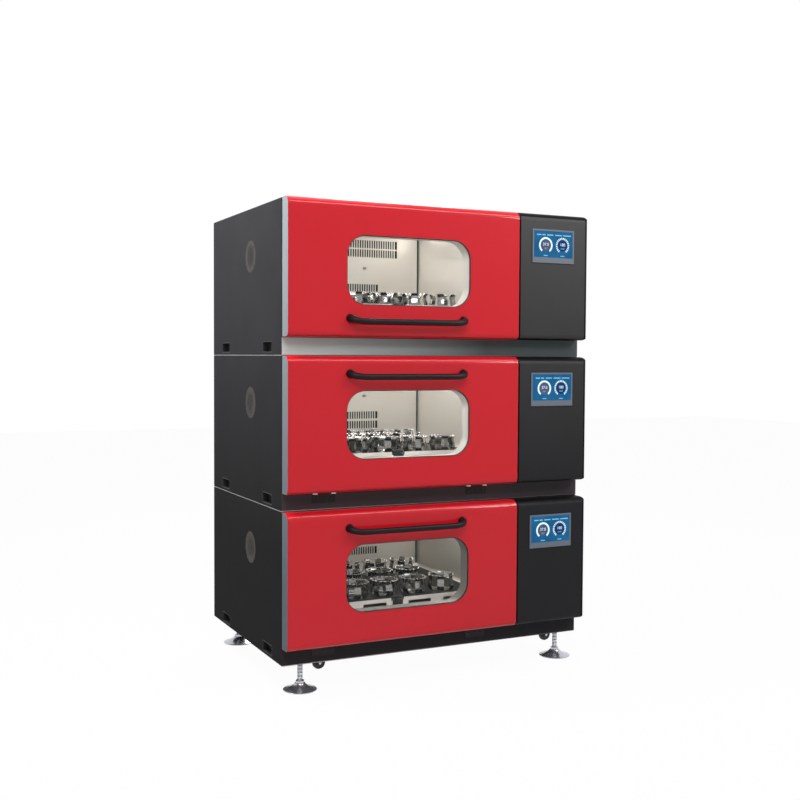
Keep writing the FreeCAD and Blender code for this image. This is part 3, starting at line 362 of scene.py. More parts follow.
for node in nodes.values():
    for count, old in enumerate(node.data.materials):
        node.data.materials[count] = finishes[slotFinish[old.name.split(".")[0]]]
for name, finish in nodeFinish.items():
    nodes[name].data.materials[0] = finishes[finish]


# Mesh helpers

def addBox(shape, low, high):
    corners = [shape.verts.new((x, y, z))
               for x in (low[0], high[0]) for y in (low[1], high[1]) for z in (low[2], high[2])]
    for ring in ((0, 1, 3, 2), (4, 6, 7, 5), (0, 4, 5, 1), (2, 3, 7, 6), (0, 2, 6, 4), (1, 5, 7, 3)):
        shape.faces.new([corners[count] for count in ring])


def addSlab(shape, unit, x, y, z):
    # A box of a unit from its lowest and highest X, Y and Z
    addBox(shape, place(unit, x[0], y[0], z[0]), place(unit, x[1], y[1], z[1]))


def joinRings(shape, low, high):
    for step in range(len(low)):
        after = (step + 1) % len(low)
        shape.faces.new((low[step], low[after], high[after], high[step]))


def closeRings(shape, rings):
    # Matching rings joined in order, with a face over the first and the last
    for low, high in zip(rings, rings[1:]):
        joinRings(shape, low, high)
    shape.faces.new(list(reversed(rings[0])))
    shape.faces.new(rings[-1])


def addPlate(shape, front, back):
    closeRings(shape, [[shape.verts.new(point) for point in ring] for ring in (back, front)])


def addTurned(shape, outline, where, axis="z", sides=48):
    # Outline runs from the foot of the axis to its top as (radius, height) in millimetres
    turn = {"z": Matrix.Identity(3), "y": Matrix(((1, 0, 0), (0, 0, 1), (0, -1, 0))),
            "x": Matrix(((0, 0, 1), (0, 1, 0), (-1, 0, 0)))}[axis]
    rings = []
    for radius, height in outline:
        ring = []
        for step in range(sides if radius else 1):
            angle = 2 * math.pi * step / sides
            spot = Vector(mm(radius * math.cos(angle), radius * math.sin(angle), height))
            ring.append(shape.verts.new(where + turn @ spot))
        rings.append(ring)
    for low, high in zip(rings, rings[1:]):
        if len(low) == len(high):
            joinRings(shape, low, high)
            continue
        for step in range(sides):
            after = (step + 1) % sides
            if len(low) == 1:
                shape.faces.new((low[0], high[after], high[step]))
            else:
                shape.faces.new((low[step], low[after], high[0]))


def roundedOutline(x, z, radius, steps=14):
    # Points round a rounded rectangle in the XZ plane with the direction that points out of it
    points = []
    centres = ((x[1] - radius, z[1] - radius), (x[0] + radius, z[1] - radius), (x[0] + radius, z[0] + radius),
               (x[1] - radius, z[0] + radius))
    for quarter, (u, w) in enumerate(centres):
        for step in range(steps + 1):
            angle = math.pi / 2 * (quarter + step / steps)
            points.append((u, w, math.cos(angle), math.sin(angle), radius))
    return points


def addLoop(shape, unit, outline, section):
    # A closed section of (distance outwards, depth) swept round an outline
    rings = [[shape.verts.new(place(unit, u + across * (radius + out), deep, w + upward * (radius + out)))
              for out, deep in section] for u, w, across, upward, radius in outline]
    for ring, after in zip(rings, rings[1:] + rings[:1]):
        joinRings(shape, ring, after)


def addSweep(shape, stations, sides=24):
    # A round section swept along (centre, direction, radius) stations, closed at both ends
    rings = []
    side = stations[0][1].orthogonal().normalized()
    before = stations[0][1]
    for centre, along, radius in stations:
        side = before.rotation_difference(along) @ side
        other = along.cross(side)
        before = along
        ring = []
        for step in range(sides):
            angle = 2 * math.pi * step / sides
            ring.append(shape.verts.new(centre + (side * math.cos(angle) + other * math.sin(angle)) * radius))
        rings.append(ring)
    closeRings(shape, rings)


def toMesh(shape):
    mesh = bpy.data.meshes.new("shape")
    shape.to_mesh(mesh)
    shape.free()
    return mesh


def meshOf(shape):
    bmesh.ops.remove_doubles(shape, verts=shape.verts, dist=1e-7)
    bmesh.ops.recalc_face_normals(shape, faces=shape.faces)
    return toMesh(shape)


def joined(meshes):
    whole = bmesh.new()
    for mesh in meshes:
        whole.from_mesh(mesh)
    return toMesh(whole)


def moved(mesh, matrix):
    other = mesh.copy()
    other.transform(matrix)
    return other


# How every piece is shaded: the angles past which an edge is sharp, or takes its bevel
edges = {"sharp": 38, "bevel": 50, "bevelSteps": 2}


def piece(name, made, finish, body, soften=0.0, stands=()):
    # One object of a single finish, of a shape or a list of meshes, that rides on a body
    # and may stand for CAD nodes
    mesh = joined(made if isinstance(made, list) else [meshOf(made)])
    mesh.name = name
    mesh.shade_smooth()
    mesh.set_sharp_from_angle(angle=math.radians(edges["sharp"]))
    for polygon in mesh.polygons:
        polygon.material_index = 0
    mesh.materials.clear()
    mesh.materials.append(finishes[finish])
    made = newObject(name, mesh)
    if soften:
        bevel = made.modifiers.new("softEdges", "BEVEL")
        bevel.width = soften
        bevel.segments = edges["bevelSteps"]
        bevel.limit_method = "ANGLE"
        bevel.angle_limit = math.radians(edges["bevel"])
    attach(made, body)
    if stands:
        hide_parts(*stands)
    return made


# Geometry Nodes trees

def newTree(name, ins):
    tree = bpy.data.node_groups.new(name, "GeometryNodeTree")
    for title, kind in ins:
        tree.interface.new_socket(name=title, in_out="INPUT", socket_type="NodeSocket" + kind)
    tree.interface.new_socket(name="Geometry", in_out="OUTPUT", socket_type="NodeSocketGeometry")
    return tree, addNode(tree, "NodeGroupInput").outputs, addNode(tree, "NodeGroupOutput")


def endTree(tree, geometry, given, end):
    real = addNode(tree, "GeometryNodeRealizeInstances", None, {"Geometry": geometry})
    dressed = addNode(tree, "GeometryNodeSetMaterial", None, {
        "Geometry": real.outputs[0], "Material": given["Finish"]})
    feed(tree, end, {"Geometry": dressed.outputs[0]})
    return tree


def copiesTree():
    # Copies of the object's mesh in rows, each turned about its own upright axis
    tree, given, end = newTree("rowsOfCopies", [
        ("Geometry", "Geometry"), ("Across", "Int"), ("Along", "Int"), ("Step across", "Vector"),
        ("Step along", "Vector"), ("First", "Vector"), ("Random turn", "Float"), ("Seed", "Int"),
        ("Finish", "Material")])
    rows = addNode(tree, "GeometryNodeMeshLine", None, {
        "Count": given["Along"], "Start Location": given["First"], "Offset": given["Step along"]})
    row = addNode(tree, "GeometryNodeMeshLine", None, {"Count": given["Across"], "Offset": given["Step across"]})
    spread = addNode(tree, "GeometryNodeInstanceOnPoints", None, {
        "Points": rows.outputs[0], "Instance": row.outputs[0]})
    spots = addNode(tree, "GeometryNodeRealizeInstances", None, {"Geometry": spread.outputs[0]})
    lowest = mathNode(tree, "MULTIPLY", given["Random turn"], -1.0)
    turn = addNode(tree, "FunctionNodeRandomValue", {"data_type": "FLOAT"}, {
        2: lowest, 3: given["Random turn"], "Seed": given["Seed"]})
    angles = addNode(tree, "ShaderNodeCombineXYZ", None, {"Z": turn.outputs[1]})
    rotation = addNode(tree, "FunctionNodeEulerToRotation", None, {0: angles.outputs[0]})
    copied = addNode(tree, "GeometryNodeInstanceOnPoints", None, {
        "Points": spots.outputs[0], "Instance": given["Geometry"], "Rotation": rotation.outputs[0]})
    return endTree(tree, copied.outputs[0], given, end)


def coilTree():
    # A wire wound round the Z axis
    tree, given, end = newTree("woundWire", [
        ("Geometry", "Geometry"), ("Turns", "Float"), ("Radius", "Float"), ("Length", "Float"), ("Wire", "Float"),
        ("Steps", "Int"), ("Sides", "Int"), ("Finish", "Material")])
    path = addNode(tree, "GeometryNodeCurveSpiral", None, {
        "Resolution": given["Steps"], "Rotations": given["Turns"], "Start Radius": given["Radius"],
        "End Radius": given["Radius"], "Height": given["Length"]})
    section = addNode(tree, "GeometryNodeCurvePrimitiveCircle", None, {
        "Resolution": given["Sides"], "Radius": given["Wire"]})
    wire = addNode(tree, "GeometryNodeCurveToMesh", None, {
        "Curve": path.outputs[0], "Profile Curve": section.outputs[0], "Fill Caps": True})
    return endTree(tree, wire.outputs[0], given, end)


rowsOfCopies = copiesTree()
woundWire = coilTree()


def plainMesh(holder):
    # The mesh of an object as it is evaluated; the object itself goes
    bpy.context.view_layer.update()
    made = bpy.data.meshes.new_from_object(holder.evaluated_get(bpy.context.evaluated_depsgraph_get()))
    holder.modifiers.clear()
    bpy.data.objects.remove(holder)
    return made


def grown(mesh, tree, values):
    # The plain mesh that a tree makes of a mesh
    holder = newObject("grown", mesh)
    modifier = holder.modifiers.new("grow", "NODES")
    modifier.node_group = tree
    sockets = {item.name: item.identifier for item in tree.interface.items_tree
               if item.item_type == "SOCKET" and item.in_out == "INPUT"}
    for key, value in values.items():
        modifier[sockets[key]] = value
    holder.update_tag()
    return plainMesh(holder)


def copies(mesh, first, finish, across, stepAcross, along=1, stepAlong=(0, 0, 0), randomTurn=0.0, seed=1):
    return grown(mesh, rowsOfCopies, {
        "Across": across, "Along": along, "Step across": mm(*stepAcross), "Step along": mm(*stepAlong),
        "First": tuple(first), "Random turn": randomTurn, "Seed": seed, "Finish": finishes[finish]})


def coil(wound, length, finish):
    # Turns, radius and wire of the wound dictionary, in millimetres, from the foot of the Z axis
    return grown(bpy.data.meshes.new("coil"), woundWire, {
        "Turns": wound["turns"], "Radius": wound["radius"] / 1000, "Length": length / 1000,
        "Wire": wound["wire"] / 1000, "Steps": wound["steps"], "Sides": wound["sides"], "Finish": finishes[finish]})


print("trees made")

# Door: glazing bead and window lining as (distance outwards from the opening, depth), and the bar handle
window = {"x": (-403, 97), "z": (181, 429), "round": 73,
          "Bead": ((0.3, -64), (0.3, -64.5), (-0.8, -64.8), (-3, -60.2), (-3, -58.95), (-0.3, -58.95), (-0.3, -64)),
          "Lining": ((-0.15, -54.8), (-0.15, -6.1), (-1.6, -6.1), (-1.6, -54.8)),
          "finish": {"Bead": "softRubber", "Lining": "revealSteel"}}
handle = {"feet": (-391, 68), "z": {"bottom": 489, "middle": 489, "top": 133}, "face": -64, "seat": 0.05,
          "front": -98, "drop": 12, "bar": 11.0, "flare": 15.5, "taper": 1.6, "taperEnd": 0.75,
          "pull": 0.62, "sag": 2, "lean": 4, "bend": 66, "steps": 16}


def handleEnd(unit, foot, inward):
    # From the door's face out and round into the bar, on one curve, slimmer all the way
    z, face, front = handle["z"][unit], handle["face"], handle["front"]
    level = z - handle["drop"]
    first, second, third, last = (
        place(unit, foot, face + handle["seat"], z),
        place(unit, foot, face + (front - face) * handle["pull"], z - handle["sag"]),
        place(unit, foot + handle["lean"] * inward, front, level),
        place(unit, foot + handle["bend"] * inward, front, level))
    # The first ring lies flat on the door
    stations = [(first, Vector((0, -1, 0)), handle["flare"] / 1000)]
    for step in range(1, handle["steps"] + 1):
        t = step / handle["steps"]
        centre = (1 - t) ** 3 * first + 3 * t * (1 - t) ** 2 * second + 3 * t * t * (1 - t) * third + t ** 3 * last
        along = ((1 - t) ** 2 * (second - first) + 2 * t * (1 - t) * (third - second) + t * t * (last - third))
        wider = (1 - min(t / handle["taperEnd"], 1)) ** handle["taper"]
        radius = handle["bar"] + (handle["flare"] - handle["bar"]) * wider
        stations.append((centre, along.normalized(), radius / 1000))
    return stations


def buildDoor(unit):
    outline = roundedOutline(window["x"], window["z"], window["round"])
    for name, finish in window["finish"].items():
        ring = bmesh.new()
        addLoop(ring, unit, outline, window[name])
        piece(f"{unit}_window{name}", ring, finish, f"{unit}_door")
    left, right = handleEnd(unit, handle["feet"][0], 1), handleEnd(unit, handle["feet"][1], -1)
    bar = bmesh.new()
    addSweep(bar, left + [(centre, -along, radius) for centre, along, radius in reversed(right)])
    piece(f"{unit}_handle", bar, "handleBlack", f"{unit}_door", stands=(f"{unit}_door_handle",))


for unit in stack["names"]:
    buildDoor(unit)
print("doors dressed")

# Thin covers: the grey trim on each door's left side, whose tone is a painted reflection of the door's glossy side,
# and the satin face of each control panel, lighter than the panel's paint as painted light.
# The trim's rounds run from its lower front corner; a panel's rounding turns by so many degrees.
edgeReflectionTrim = {"x": (-625.35, -624.9), "y": (-63.0, -6.8), "z": (66.0, 551.0), "rounds": (19.0, 2.0, 2.0, 29.0)}
# The lighter satin face over each panel, darker towards the bottom: painted light and shade
panelFacePaintedLight = {"x": (317.0, 612.0), "lift": (0.35, -0.1), "steps": 5,
             "bottom": {"y": -44, "z": 85, "radius": 20, "turn": -46},
             "top": {"y": -34, "z": 522, "radius": 30, "turn": 26}}


def roundedPoints(low, high, rounds, steps=6):
    # A rectangle's outline with a radius for each corner, from the lower left one round to the upper left one
    points = []
    signs = ((-1, -1), (1, -1), (1, 1), (-1, 1))
    for quarter, ((across, upward), radius) in enumerate(zip(signs, rounds)):
        u = (high[0] if across > 0 else low[0]) - across * radius
        w = (high[1] if upward > 0 else low[1]) - upward * radius
        for step in range(steps + 1):
            angle = math.pi / 2 * (quarter + 2 + step / steps)
            points.append((u + radius * math.cos(angle), w + radius * math.sin(angle)))
    return points


def panelSection():
    # The panel's front in section, from its foot up: (centre's Y and Z, direction outwards, radius)
    section = []
    steps = panelFacePaintedLight["steps"]
    for level, order in ((panelFacePaintedLight["bottom"], range(steps, -1, -1)), (panelFacePaintedLight["top"], range(steps + 1))):
        for step in order:
            angle = math.radians(level["turn"] * step / steps)
            section.append((level["y"], level["z"], math.cos(angle), math.sin(angle), level["radius"]))
    return section


def buildCovers():
    faces = bmesh.new()
    section = panelSection()
    outline = roundedPoints(*zip(edgeReflectionTrim["y"], edgeReflectionTrim["z"]), edgeReflectionTrim["rounds"])
    for unit in stack["names"]:
        strip = bmesh.new()
        addPlate(strip, *([place(unit, x, a, b) for a, b in outline] for x in edgeReflectionTrim["x"]))
        piece(f"{unit}_doorEdgeReflectionTrim", strip, "edgeReflectionTrim", f"{unit}_door")
        leftOut, leftIn, rightOut, rightIn = (
            [faces.verts.new(place(unit, x, y - c * (r + lift), z + s * (r + lift))) for y, z, c, s, r in section]
            for x in panelFacePaintedLight["x"] for lift in panelFacePaintedLight["lift"])
        for first, second in ((leftOut, rightOut), (rightOut, rightIn), (rightIn, leftIn), (leftIn, leftOut)):
            for step in range(len(section) - 1):
                faces.faces.new((first[step], first[step + 1], second[step + 1], second[step]))
        for end in (0, -1):
            faces.faces.new((leftOut[end], rightOut[end], rightIn[end], leftIn[end]))
    piece("panelFacesPaintedLight", faces, "panelFacePaintedLight", "cabinet")


buildCovers()

# Flask clamps: a cup of curved spring fingers tied by short coil springs. The curve holds a
# finger's (radius, height, share of its width), the tie the (radius, height) of the springs, a row
# its (count, Y), and the turn is the most that a clamp stands turned, in radians.
clamp = {"fingers": 6, "width": 26.0, "plate": 0.9, "bow": 1.6, "flat": 2, "tie": (53.5, 58.5), "gap": 1.2,
         "curve": ((26, 1.2, 1), (38, 1.2, 1), (44, 3, 1), (48.5, 9, 1), (51, 18, 1), (50, 26, 1), (47.2, 35, 1),
                   (44.8, 43, 1), (45.2, 50, 1), (49, 56, 0.98), (54, 60.5, 0.9)),
         "base": ((0, 0.2), (42, 0.2), (42, 1.8), (12, 1.8), (9, 2.6), (4.5, 3.2), (3.2, 3.2), (3.2, 1.4), (0, 1.4)),
         "spring": {"turns": 13, "radius": 1.9, "wire": 0.8, "steps": 6, "sides": 3},
         "rows": ((5, -180), (4, 0), (5, 180)), "pitch": 124, "centre": (-139, 360), "deck": 180.8,
         "turn": 0.5, "seeds": 11}


def clampMesh():
    shape = bmesh.new()
    for finger in range(clamp["fingers"]):
        turn = Matrix.Rotation(2 * math.pi * finger / clamp["fingers"], 3, "Z")
        rings = []
        for radius, height, share in clamp["curve"]:
            side = clamp["width"] / 2 * share
            ring = []
            for out in (0, clamp["plate"]):
                for across in (-side, 0, side):
                    bow = clamp["bow"] * (1 - abs(across) / side) * (height > clamp["flat"])
                    ring.append(shape.verts.new(turn @ Vector(mm(radius + out + bow, across, height))))
            rings.append(ring[:3] + ring[:2:-1])
        closeRings(shape, rings)
    addTurned(shape, clamp["base"], Vector(), "z", 24)
    return meshOf(shape)


def tieMesh():
    # The ring of coil springs round the finger tips
    radius, height = clamp["tie"]
    angle = math.pi / clamp["fingers"]
    reach = radius * math.cos(angle) + clamp["gap"]
    length = 2 * radius * math.sin(angle)
    spring = coil(clamp["spring"], length, "brightWire")
    lay = Matrix.Translation(mm(0, 0, height)) @ Matrix.Rotation(-math.pi / 2, 4, "X")
    lay = lay @ Matrix.Translation(mm(0, 0, -length / 2))
    turns = (Matrix.Rotation(angle * (2 * side + 1), 4, "Z") for side in range(clamp["fingers"]))
    return joined([moved(spring, turn @ Matrix.Translation(mm(reach, 0, 0)) @ lay) for turn in turns])


oneClamp, oneTie = clampMesh(), tieMesh()
for level, unit in enumerate(stack["names"]):
    cups, ties = [], []
    for row, (count, back) in enumerate(clamp["rows"]):
        left = clamp["centre"][0] - clamp["pitch"] * (count - 1) / 2
        first = place(unit, left, clamp["centre"][1] + back, clamp["deck"])
        for mesh, finish, made in ((oneClamp, "clampSteel", cups), (oneTie, "brightWire", ties)):
            made.append(copies(mesh, first, finish, count, (clamp["pitch"], 0, 0), randomTurn=clamp["turn"],
                               seed=clamp["seeds"] * level + row))
    piece(f"{unit}_clamps", cups, "clampSteel", f"{unit}_platform", stands=(f"{unit}_flask_clamps",))
    piece(f"{unit}_clampSprings", ties, "brightWire", f"{unit}_platform")
print("clamps made")

# Platform: the grip mat that the clamps stand on, and the catch in the front rim, both as X, Y and Z
platformMat = {"slab": ((-515, 237), (74, 646), (180.02, 180.75)), "soften": 0.0003}
latch = {"slabs": {"plate": ((-164, -114), (64.5, 78), (180.9, 184.9)),
                   "arm": ((-146, -132), (61.5, 75), (184.9, 200)),
                   "hanger": ((-160, -118), (56, 59.7), (159, 183.9)),
                   "tongue": ((-149, -129), (54, 57), (163, 188.9))},
         "bar": (-160.5, 67.5, 195), "barOutline": ((0, 0), (5.5, 0), (6.5, 1), (6.5, 42), (5.5, 43), (0, 43)),
         "soften": 0.0008}


def buildPlatform(unit):
    mat, lever = bmesh.new(), bmesh.new()
    addSlab(mat, unit, *platformMat["slab"])
    piece(f"{unit}_gripMat", mat, "gripMat", f"{unit}_platform", platformMat["soften"])
    for slab in latch["slabs"].values():
        addSlab(lever, unit, *slab)
    addTurned(lever, latch["barOutline"], place(unit, *latch["bar"]), "x", 20)
    piece(f"{unit}_platformCatch", lever, "blackPlastic", f"{unit}_platform", latch["soften"])


for unit in stack["names"]:
    buildPlatform(unit)
print("platforms dressed")

# Air baffle: a folded sheet with two bands of slots, each of two rows, and a dark sheet behind
# each band as painted shade in the slots. A band holds the lower row's Z, the upper row's Z and the reach in X.
baffle = {"x": (-568.5, 264.0), "z": (139.7, 523.3), "y": (715, 717), "chamber": (-575.3, 271.3),
          "pitch": 11.0, "slot": 6.8, "shadeSheet": (717.5, 718.7), "border": 6,
          "bands": (((238, 270), (280, 311), (-379, 75)), ((428, 461), (467, 501), (-470, 166)))}


def buildBaffles():
    meshes = []
    sheets = bmesh.new()
    x, y, z, border = baffle["x"], baffle["y"], baffle["z"], baffle["border"]
    for unit in stack["names"]:
        plain = bmesh.new()
        level = z[0]
        for edge, wall in zip(x, baffle["chamber"]):
            # A dark sheet fills the gap where the baffle ends short of the chamber's side: painted shade in the
            # corner
            addSlab(sheets, unit, sorted((edge, wall)), baffle["shadeSheet"], z)
        for lower, upper, reach in baffle["bands"]:
            left, right = reach
            addSlab(sheets, unit, (left - border, right + border), baffle["shadeSheet"],
                    (lower[0] - border, upper[1] + border))
            addSlab(plain, unit, x, y, (level, lower[0]))
            addSlab(plain, unit, (x[0], left), y, (lower[0], upper[1]))
            addSlab(plain, unit, (right, x[1]), y, (lower[0], upper[1]))
            addSlab(plain, unit, reach, y, (lower[1], upper[0]))
            level = upper[1]
            count = int((right - left) / baffle["pitch"])
            pitch = (right - left) / count
            for row in (lower, upper):
                bar = bmesh.new()
                addBox(bar, mm(0, 0, 0), mm(pitch - baffle["slot"], y[1] - y[0], row[1] - row[0]))
                first = place(unit, left + baffle["slot"], y[0], row[0])
                meshes.append(copies(meshOf(bar), first, "chamberSteel", count - 1, (pitch, 0, 0)))
        addSlab(plain, unit, x, y, (level, z[1]))
        meshes.append(meshOf(plain))
    piece("airBaffles", meshes, "chamberSteel", "cabinet", stands=("air_baffles",))
    piece("baffleShadeSheets", sheets, "baffleShadeGreen", "cabinet")


buildBaffles()

# Temperature probe tips on the baffle
probe = {"place": (8, 715, 380), "sides": 20,
         "outline": ((0, 0), (7, 0), (7, -2), (3.5, -3), (3, -22), (2, -24), (0, -24.5))}
tips = bmesh.new()
for unit in stack["names"]:
    addTurned(tips, probe["outline"], place(unit, *probe["place"]), "y", probe["sides"])
piece("probeTips", tips, "machinedSteel", "cabinet")
print("chambers dressed")

# Touch panels: a lit picture of two gauges behind the bezel. The sweep is in degrees, the marks
# are pairs of X from the left edge, and each lift is the height of a layer over the picture.
screen = {"x": (373, 551), "z": (383, 485), "deep": -67.27, "face": (-67.29, -67.17), "inset": 0.1,
          "gauges": (((427, 430), "37.0", "36.9"), ((504, 431), "180", "24:00")), "radius": 31, "band": 7.2,
          "gap": 1.5, "hub": 0.5, "sweep": (-52, 232), "segments": 20, "segmentBand": 7.5, "segmentHalf": 4.2,
          "marks": ((14, 33), (38, 52), (60, 88), (96, 128), (134, 170)), "markRow": (17, 13),
          "keyHalf": 9, "keyRow": (6, 9), "large": (3, 16), "small": (-12, 8),
          "lift": {"ring": 0.24, "disc": 0.1, "mark": 0.12, "words": 0.3}, "extrude": 0.06,
          "steps": {"ring": 40, "segment": 2, "disc": 32}}


def addFlat(shape, unit, points, lift):
    # A flat face over the picture from points in X and Z, wound so that it faces the front
    addPlate(shape, *([place(unit, x, screen["deep"] - high, z) for x, z in points] for high in (lift, 0)))


def addArc(shape, unit, centre, inner, outer, start, end, steps, lift):
    for step in range(steps):
        angles = [math.radians(start + (end - start) * (step + extra) / steps) for extra in (0, 1)]
        points = [(centre[0] + r * math.cos(a), centre[1] + r * math.sin(a))
                  for r, a in ((inner, angles[0]), (outer, angles[0]), (outer, angles[1]), (inner, angles[1]))]
        addFlat(shape, unit, points, lift)


def wordMesh(unit, words, centre, size):
    text = bpy.data.curves.new("digits", "FONT")
    text.body, text.size = words, size / 1000
    text.align_x = text.align_y = "CENTER"
    text.extrude = screen["extrude"] / 1000
    text.resolution_u = 3
    spot = place(unit, centre[0], screen["deep"] - screen["lift"]["words"], centre[1])
    upright = Matrix.Rotation(math.pi / 2, 4, "X")
    return moved(plainMesh(newObject("digits", text)), Matrix.Translation(spot) @ upright)


def buildScreens():
    face, deep, grey, white, pale = (bmesh.new() for _ in range(5))
    digits, small = [], []
    x, z, lift, inset = screen["x"], screen["z"], screen["lift"], screen["inset"]
    radius, steps, (start, end) = screen["radius"], screen["steps"], screen["sweep"]
    disc = radius - screen["band"] - screen["gap"]
    for unit in stack["names"]:
        addSlab(face, unit, (x[0] + inset, x[1] - inset), screen["face"], (z[0] + inset, z[1] - inset))
        left, right = screen["gauges"][0][0], screen["gauges"][1][0]
        addArc(white, unit, left, radius - screen["band"], radius, start, end, steps["ring"], lift["ring"])
        for count in range(screen["segments"]):
            middle = start + (end - start) * count / (screen["segments"] - 1)
            addArc(white, unit, right, radius - screen["segmentBand"], radius, middle - screen["segmentHalf"],
                   middle + screen["segmentHalf"], steps["segment"], lift["ring"])
        for shape, gauge in ((grey, left), (deep, right)):
            addArc(shape, unit, gauge, screen["hub"], disc, 0, 360, steps["disc"], lift["disc"])
        bars = [(x[0] + low, x[0] + high, z[1] - screen["markRow"][0], z[1] - screen["markRow"][1])
                for low, high in screen["marks"]]
        bars += [(gauge[0] - screen["keyHalf"], gauge[0] + screen["keyHalf"], z[0] + screen["keyRow"][0],
                  z[0] + screen["keyRow"][1]) for gauge in (left, right)]
        for low, high, foot, head in bars:
            addFlat(pale, unit, [(low, foot), (high, foot), (high, head), (low, head)], lift["mark"])
        for gauge, value, second in screen["gauges"]:
            for meshes, words, (rise, size) in ((digits, value, screen["large"]), (small, second, screen["small"])):
                meshes.append(wordMesh(unit, words, (gauge[0], gauge[1] + rise), size))
    piece("displayFaces", face, "displayBlue", "cabinet")
    piece("displayGreyDiscs", grey, "displayGrey", "cabinet")
    piece("displayDeepDiscs", deep, "displayDeep", "cabinet")
    piece("displayRings", [meshOf(white)] + digits, "displayWhite", "cabinet")
    piece("displayMarks", [meshOf(pale)] + small, "displayPale", "cabinet")


buildScreens()
print("touch panels lit")

# Screw heads with a socket, as shares of their radius and height, and where the screws sit
headShares = ((1, 0), (1, 0.25), (0.86, 0.7), (0.6, 0.95), (0.42, 1), (0.40, 0.3), (0, 0.3))
hinge = {"centres": (-466, 162), "spread": 28, "height": 41, "y": -2.95, "head": (5.4, 2.2)}
back = {"y": 839.9, "columns": 6, "first": -590, "step": 236, "rows": 3, "foot": 58, "rise": 234, "head": (4.2, 0.6)}


def screwHead(radius, tall, axis, turn):
    # A head whose foot faces its own wall: turned a quarter about an axis
    shape = bmesh.new()
    addTurned(shape, [(radius * share, tall * rise) for share, rise in headShares], Vector(), "z", 20)
    return moved(meshOf(shape), Matrix.Rotation(turn * math.pi / 2, 4, axis))


def buildScrews():
    head = screwHead(*hinge["head"], "X", 1)
    rows = [copies(head, place(unit, centre - hinge["spread"], hinge["y"], hinge["height"]), "portMetal", 3,
                   (hinge["spread"], 0, 0)) for unit in ("bottom", "middle") for centre in hinge["centres"]]
    piece("hingeScrews", rows, "portMetal", "cabinet")


buildScrews()

# Plinth: a thin trim sheet in front of each rail, with an edge along its foot and its head
# The top unit's band and edges are a lit copy of the lower units' darker band, fading across X and down Z: painted
# reflection and painted shade
plinth = {"x": (-624.6, 624.6), "y": (-0.9, -0.02), "edgeY": -1.05, "sheet": (3, 61.2), "soften": 0.0003,
          "Foot": (0.8, 3), "Head": (61.2, 63.4),
          "finish": {"bottom": "plinthDark", "middle": "plinthDark", "top": "plinthBrushed"}}


def buildPlinth(unit):
    x, y, finish = plinth["x"], plinth["y"], plinth["finish"][unit]
    sheet = bmesh.new()
    addSlab(sheet, unit, x, y, plinth["sheet"])
    piece(f"{unit}_plinthSheet", sheet, finish, "cabinet", plinth["soften"])
    for name in ("Foot", "Head"):
        edge = bmesh.new()
        addSlab(edge, unit, x, (plinth["edgeY"], y[1]), plinth[name])
        # Light edges on the top unit and along every foot, fading across X: painted reflection
        light = unit == "top" or name == "Foot"
        piece(f"{unit}_plinth{name}", edge, "plinthEdge" if light else finish, "cabinet", plinth["soften"])


for unit in stack["names"]:
    buildPlinth(unit)


# Back cover: rows of countersunk screws
def buildBack():
    head = screwHead(*back["head"], "X", -1)
    rows = [copies(head, place(unit, back["first"], back["y"], back["foot"]), "brightZinc", back["columns"],
                   (back["step"], 0, 0), back["rows"], (0, 0, back["rise"])) for unit in stack["names"]]
    piece("backScrews", rows, "brightZinc", "cabinet")


buildBack()

# Access port: a perforated face in the plug and four screws in the ring, as (radius, count)
port = {"place": (-624.95, 350, 373), "screws": (51, 4), "head": (3.5, 0.6), "rings": ((8, 6), (17, 12), (27, 18)),
        "rim": ((1.8, 0), (3, 0), (3, 0.5), (2.2, 0.5), (1.8, 0))}


def around(mesh, unit, radius, count, start=0.0):
    # Copies of a mesh in a ring round the port's middle
    x, y, z = port["place"]
    made = []
    for step in range(count):
        angle = start + 2 * math.pi * step / count
        spot = place(unit, x, y + radius * math.cos(angle), z + radius * math.sin(angle))
        made.append(moved(mesh, Matrix.Translation(spot)))
    return made


def buildPorts():
    head = screwHead(*port["head"], "Y", -1)
    shape = bmesh.new()
    addTurned(shape, port["rim"], Vector(), "z", 10)
    rim = moved(meshOf(shape), Matrix.Rotation(-math.pi / 2, 4, "Y"))
    heads, rims = [], []
    for unit in stack["names"]:
        heads += around(head, unit, *port["screws"], math.pi / 4)
        for radius, count in port["rings"]:
            rims += around(rim, unit, radius, count)
    piece("portScrews", heads, "portMetal", "cabinet")
    piece("portPerforations", rims, "portMetal", "cabinet")


buildPorts()

# Handling pockets: moulded black cups, X from the middle to the floor's two faces and the mouth
pocket = {"y": ((103, 206), (612, 715)), "z": (11, 50), "floor": (601.15, 602.6), "mouth": 624.8,
          "wall": 1.6, "gap": 0.15}


def addCup(shape, unit, side, y):
    gap, wall, z = pocket["gap"], pocket["wall"], pocket["z"]
    back, floor, mouth = (reach * side for reach in (*pocket["floor"], pocket["mouth"]))
    wide, tall = (y[0] + gap, y[1] - gap), (z[0] + gap, z[1] - gap)
    inner = (y[0] + wall, y[1] - wall)
    addSlab(shape, unit, sorted((back, floor)), wide, tall)
    for across, upward in (((wide[0], inner[0]), tall), ((inner[1], wide[1]), tall),
                           (inner, (tall[0], z[0] + wall)), (inner, (z[1] - wall, tall[1]))):
        addSlab(shape, unit, sorted((floor, mouth)), across, upward)


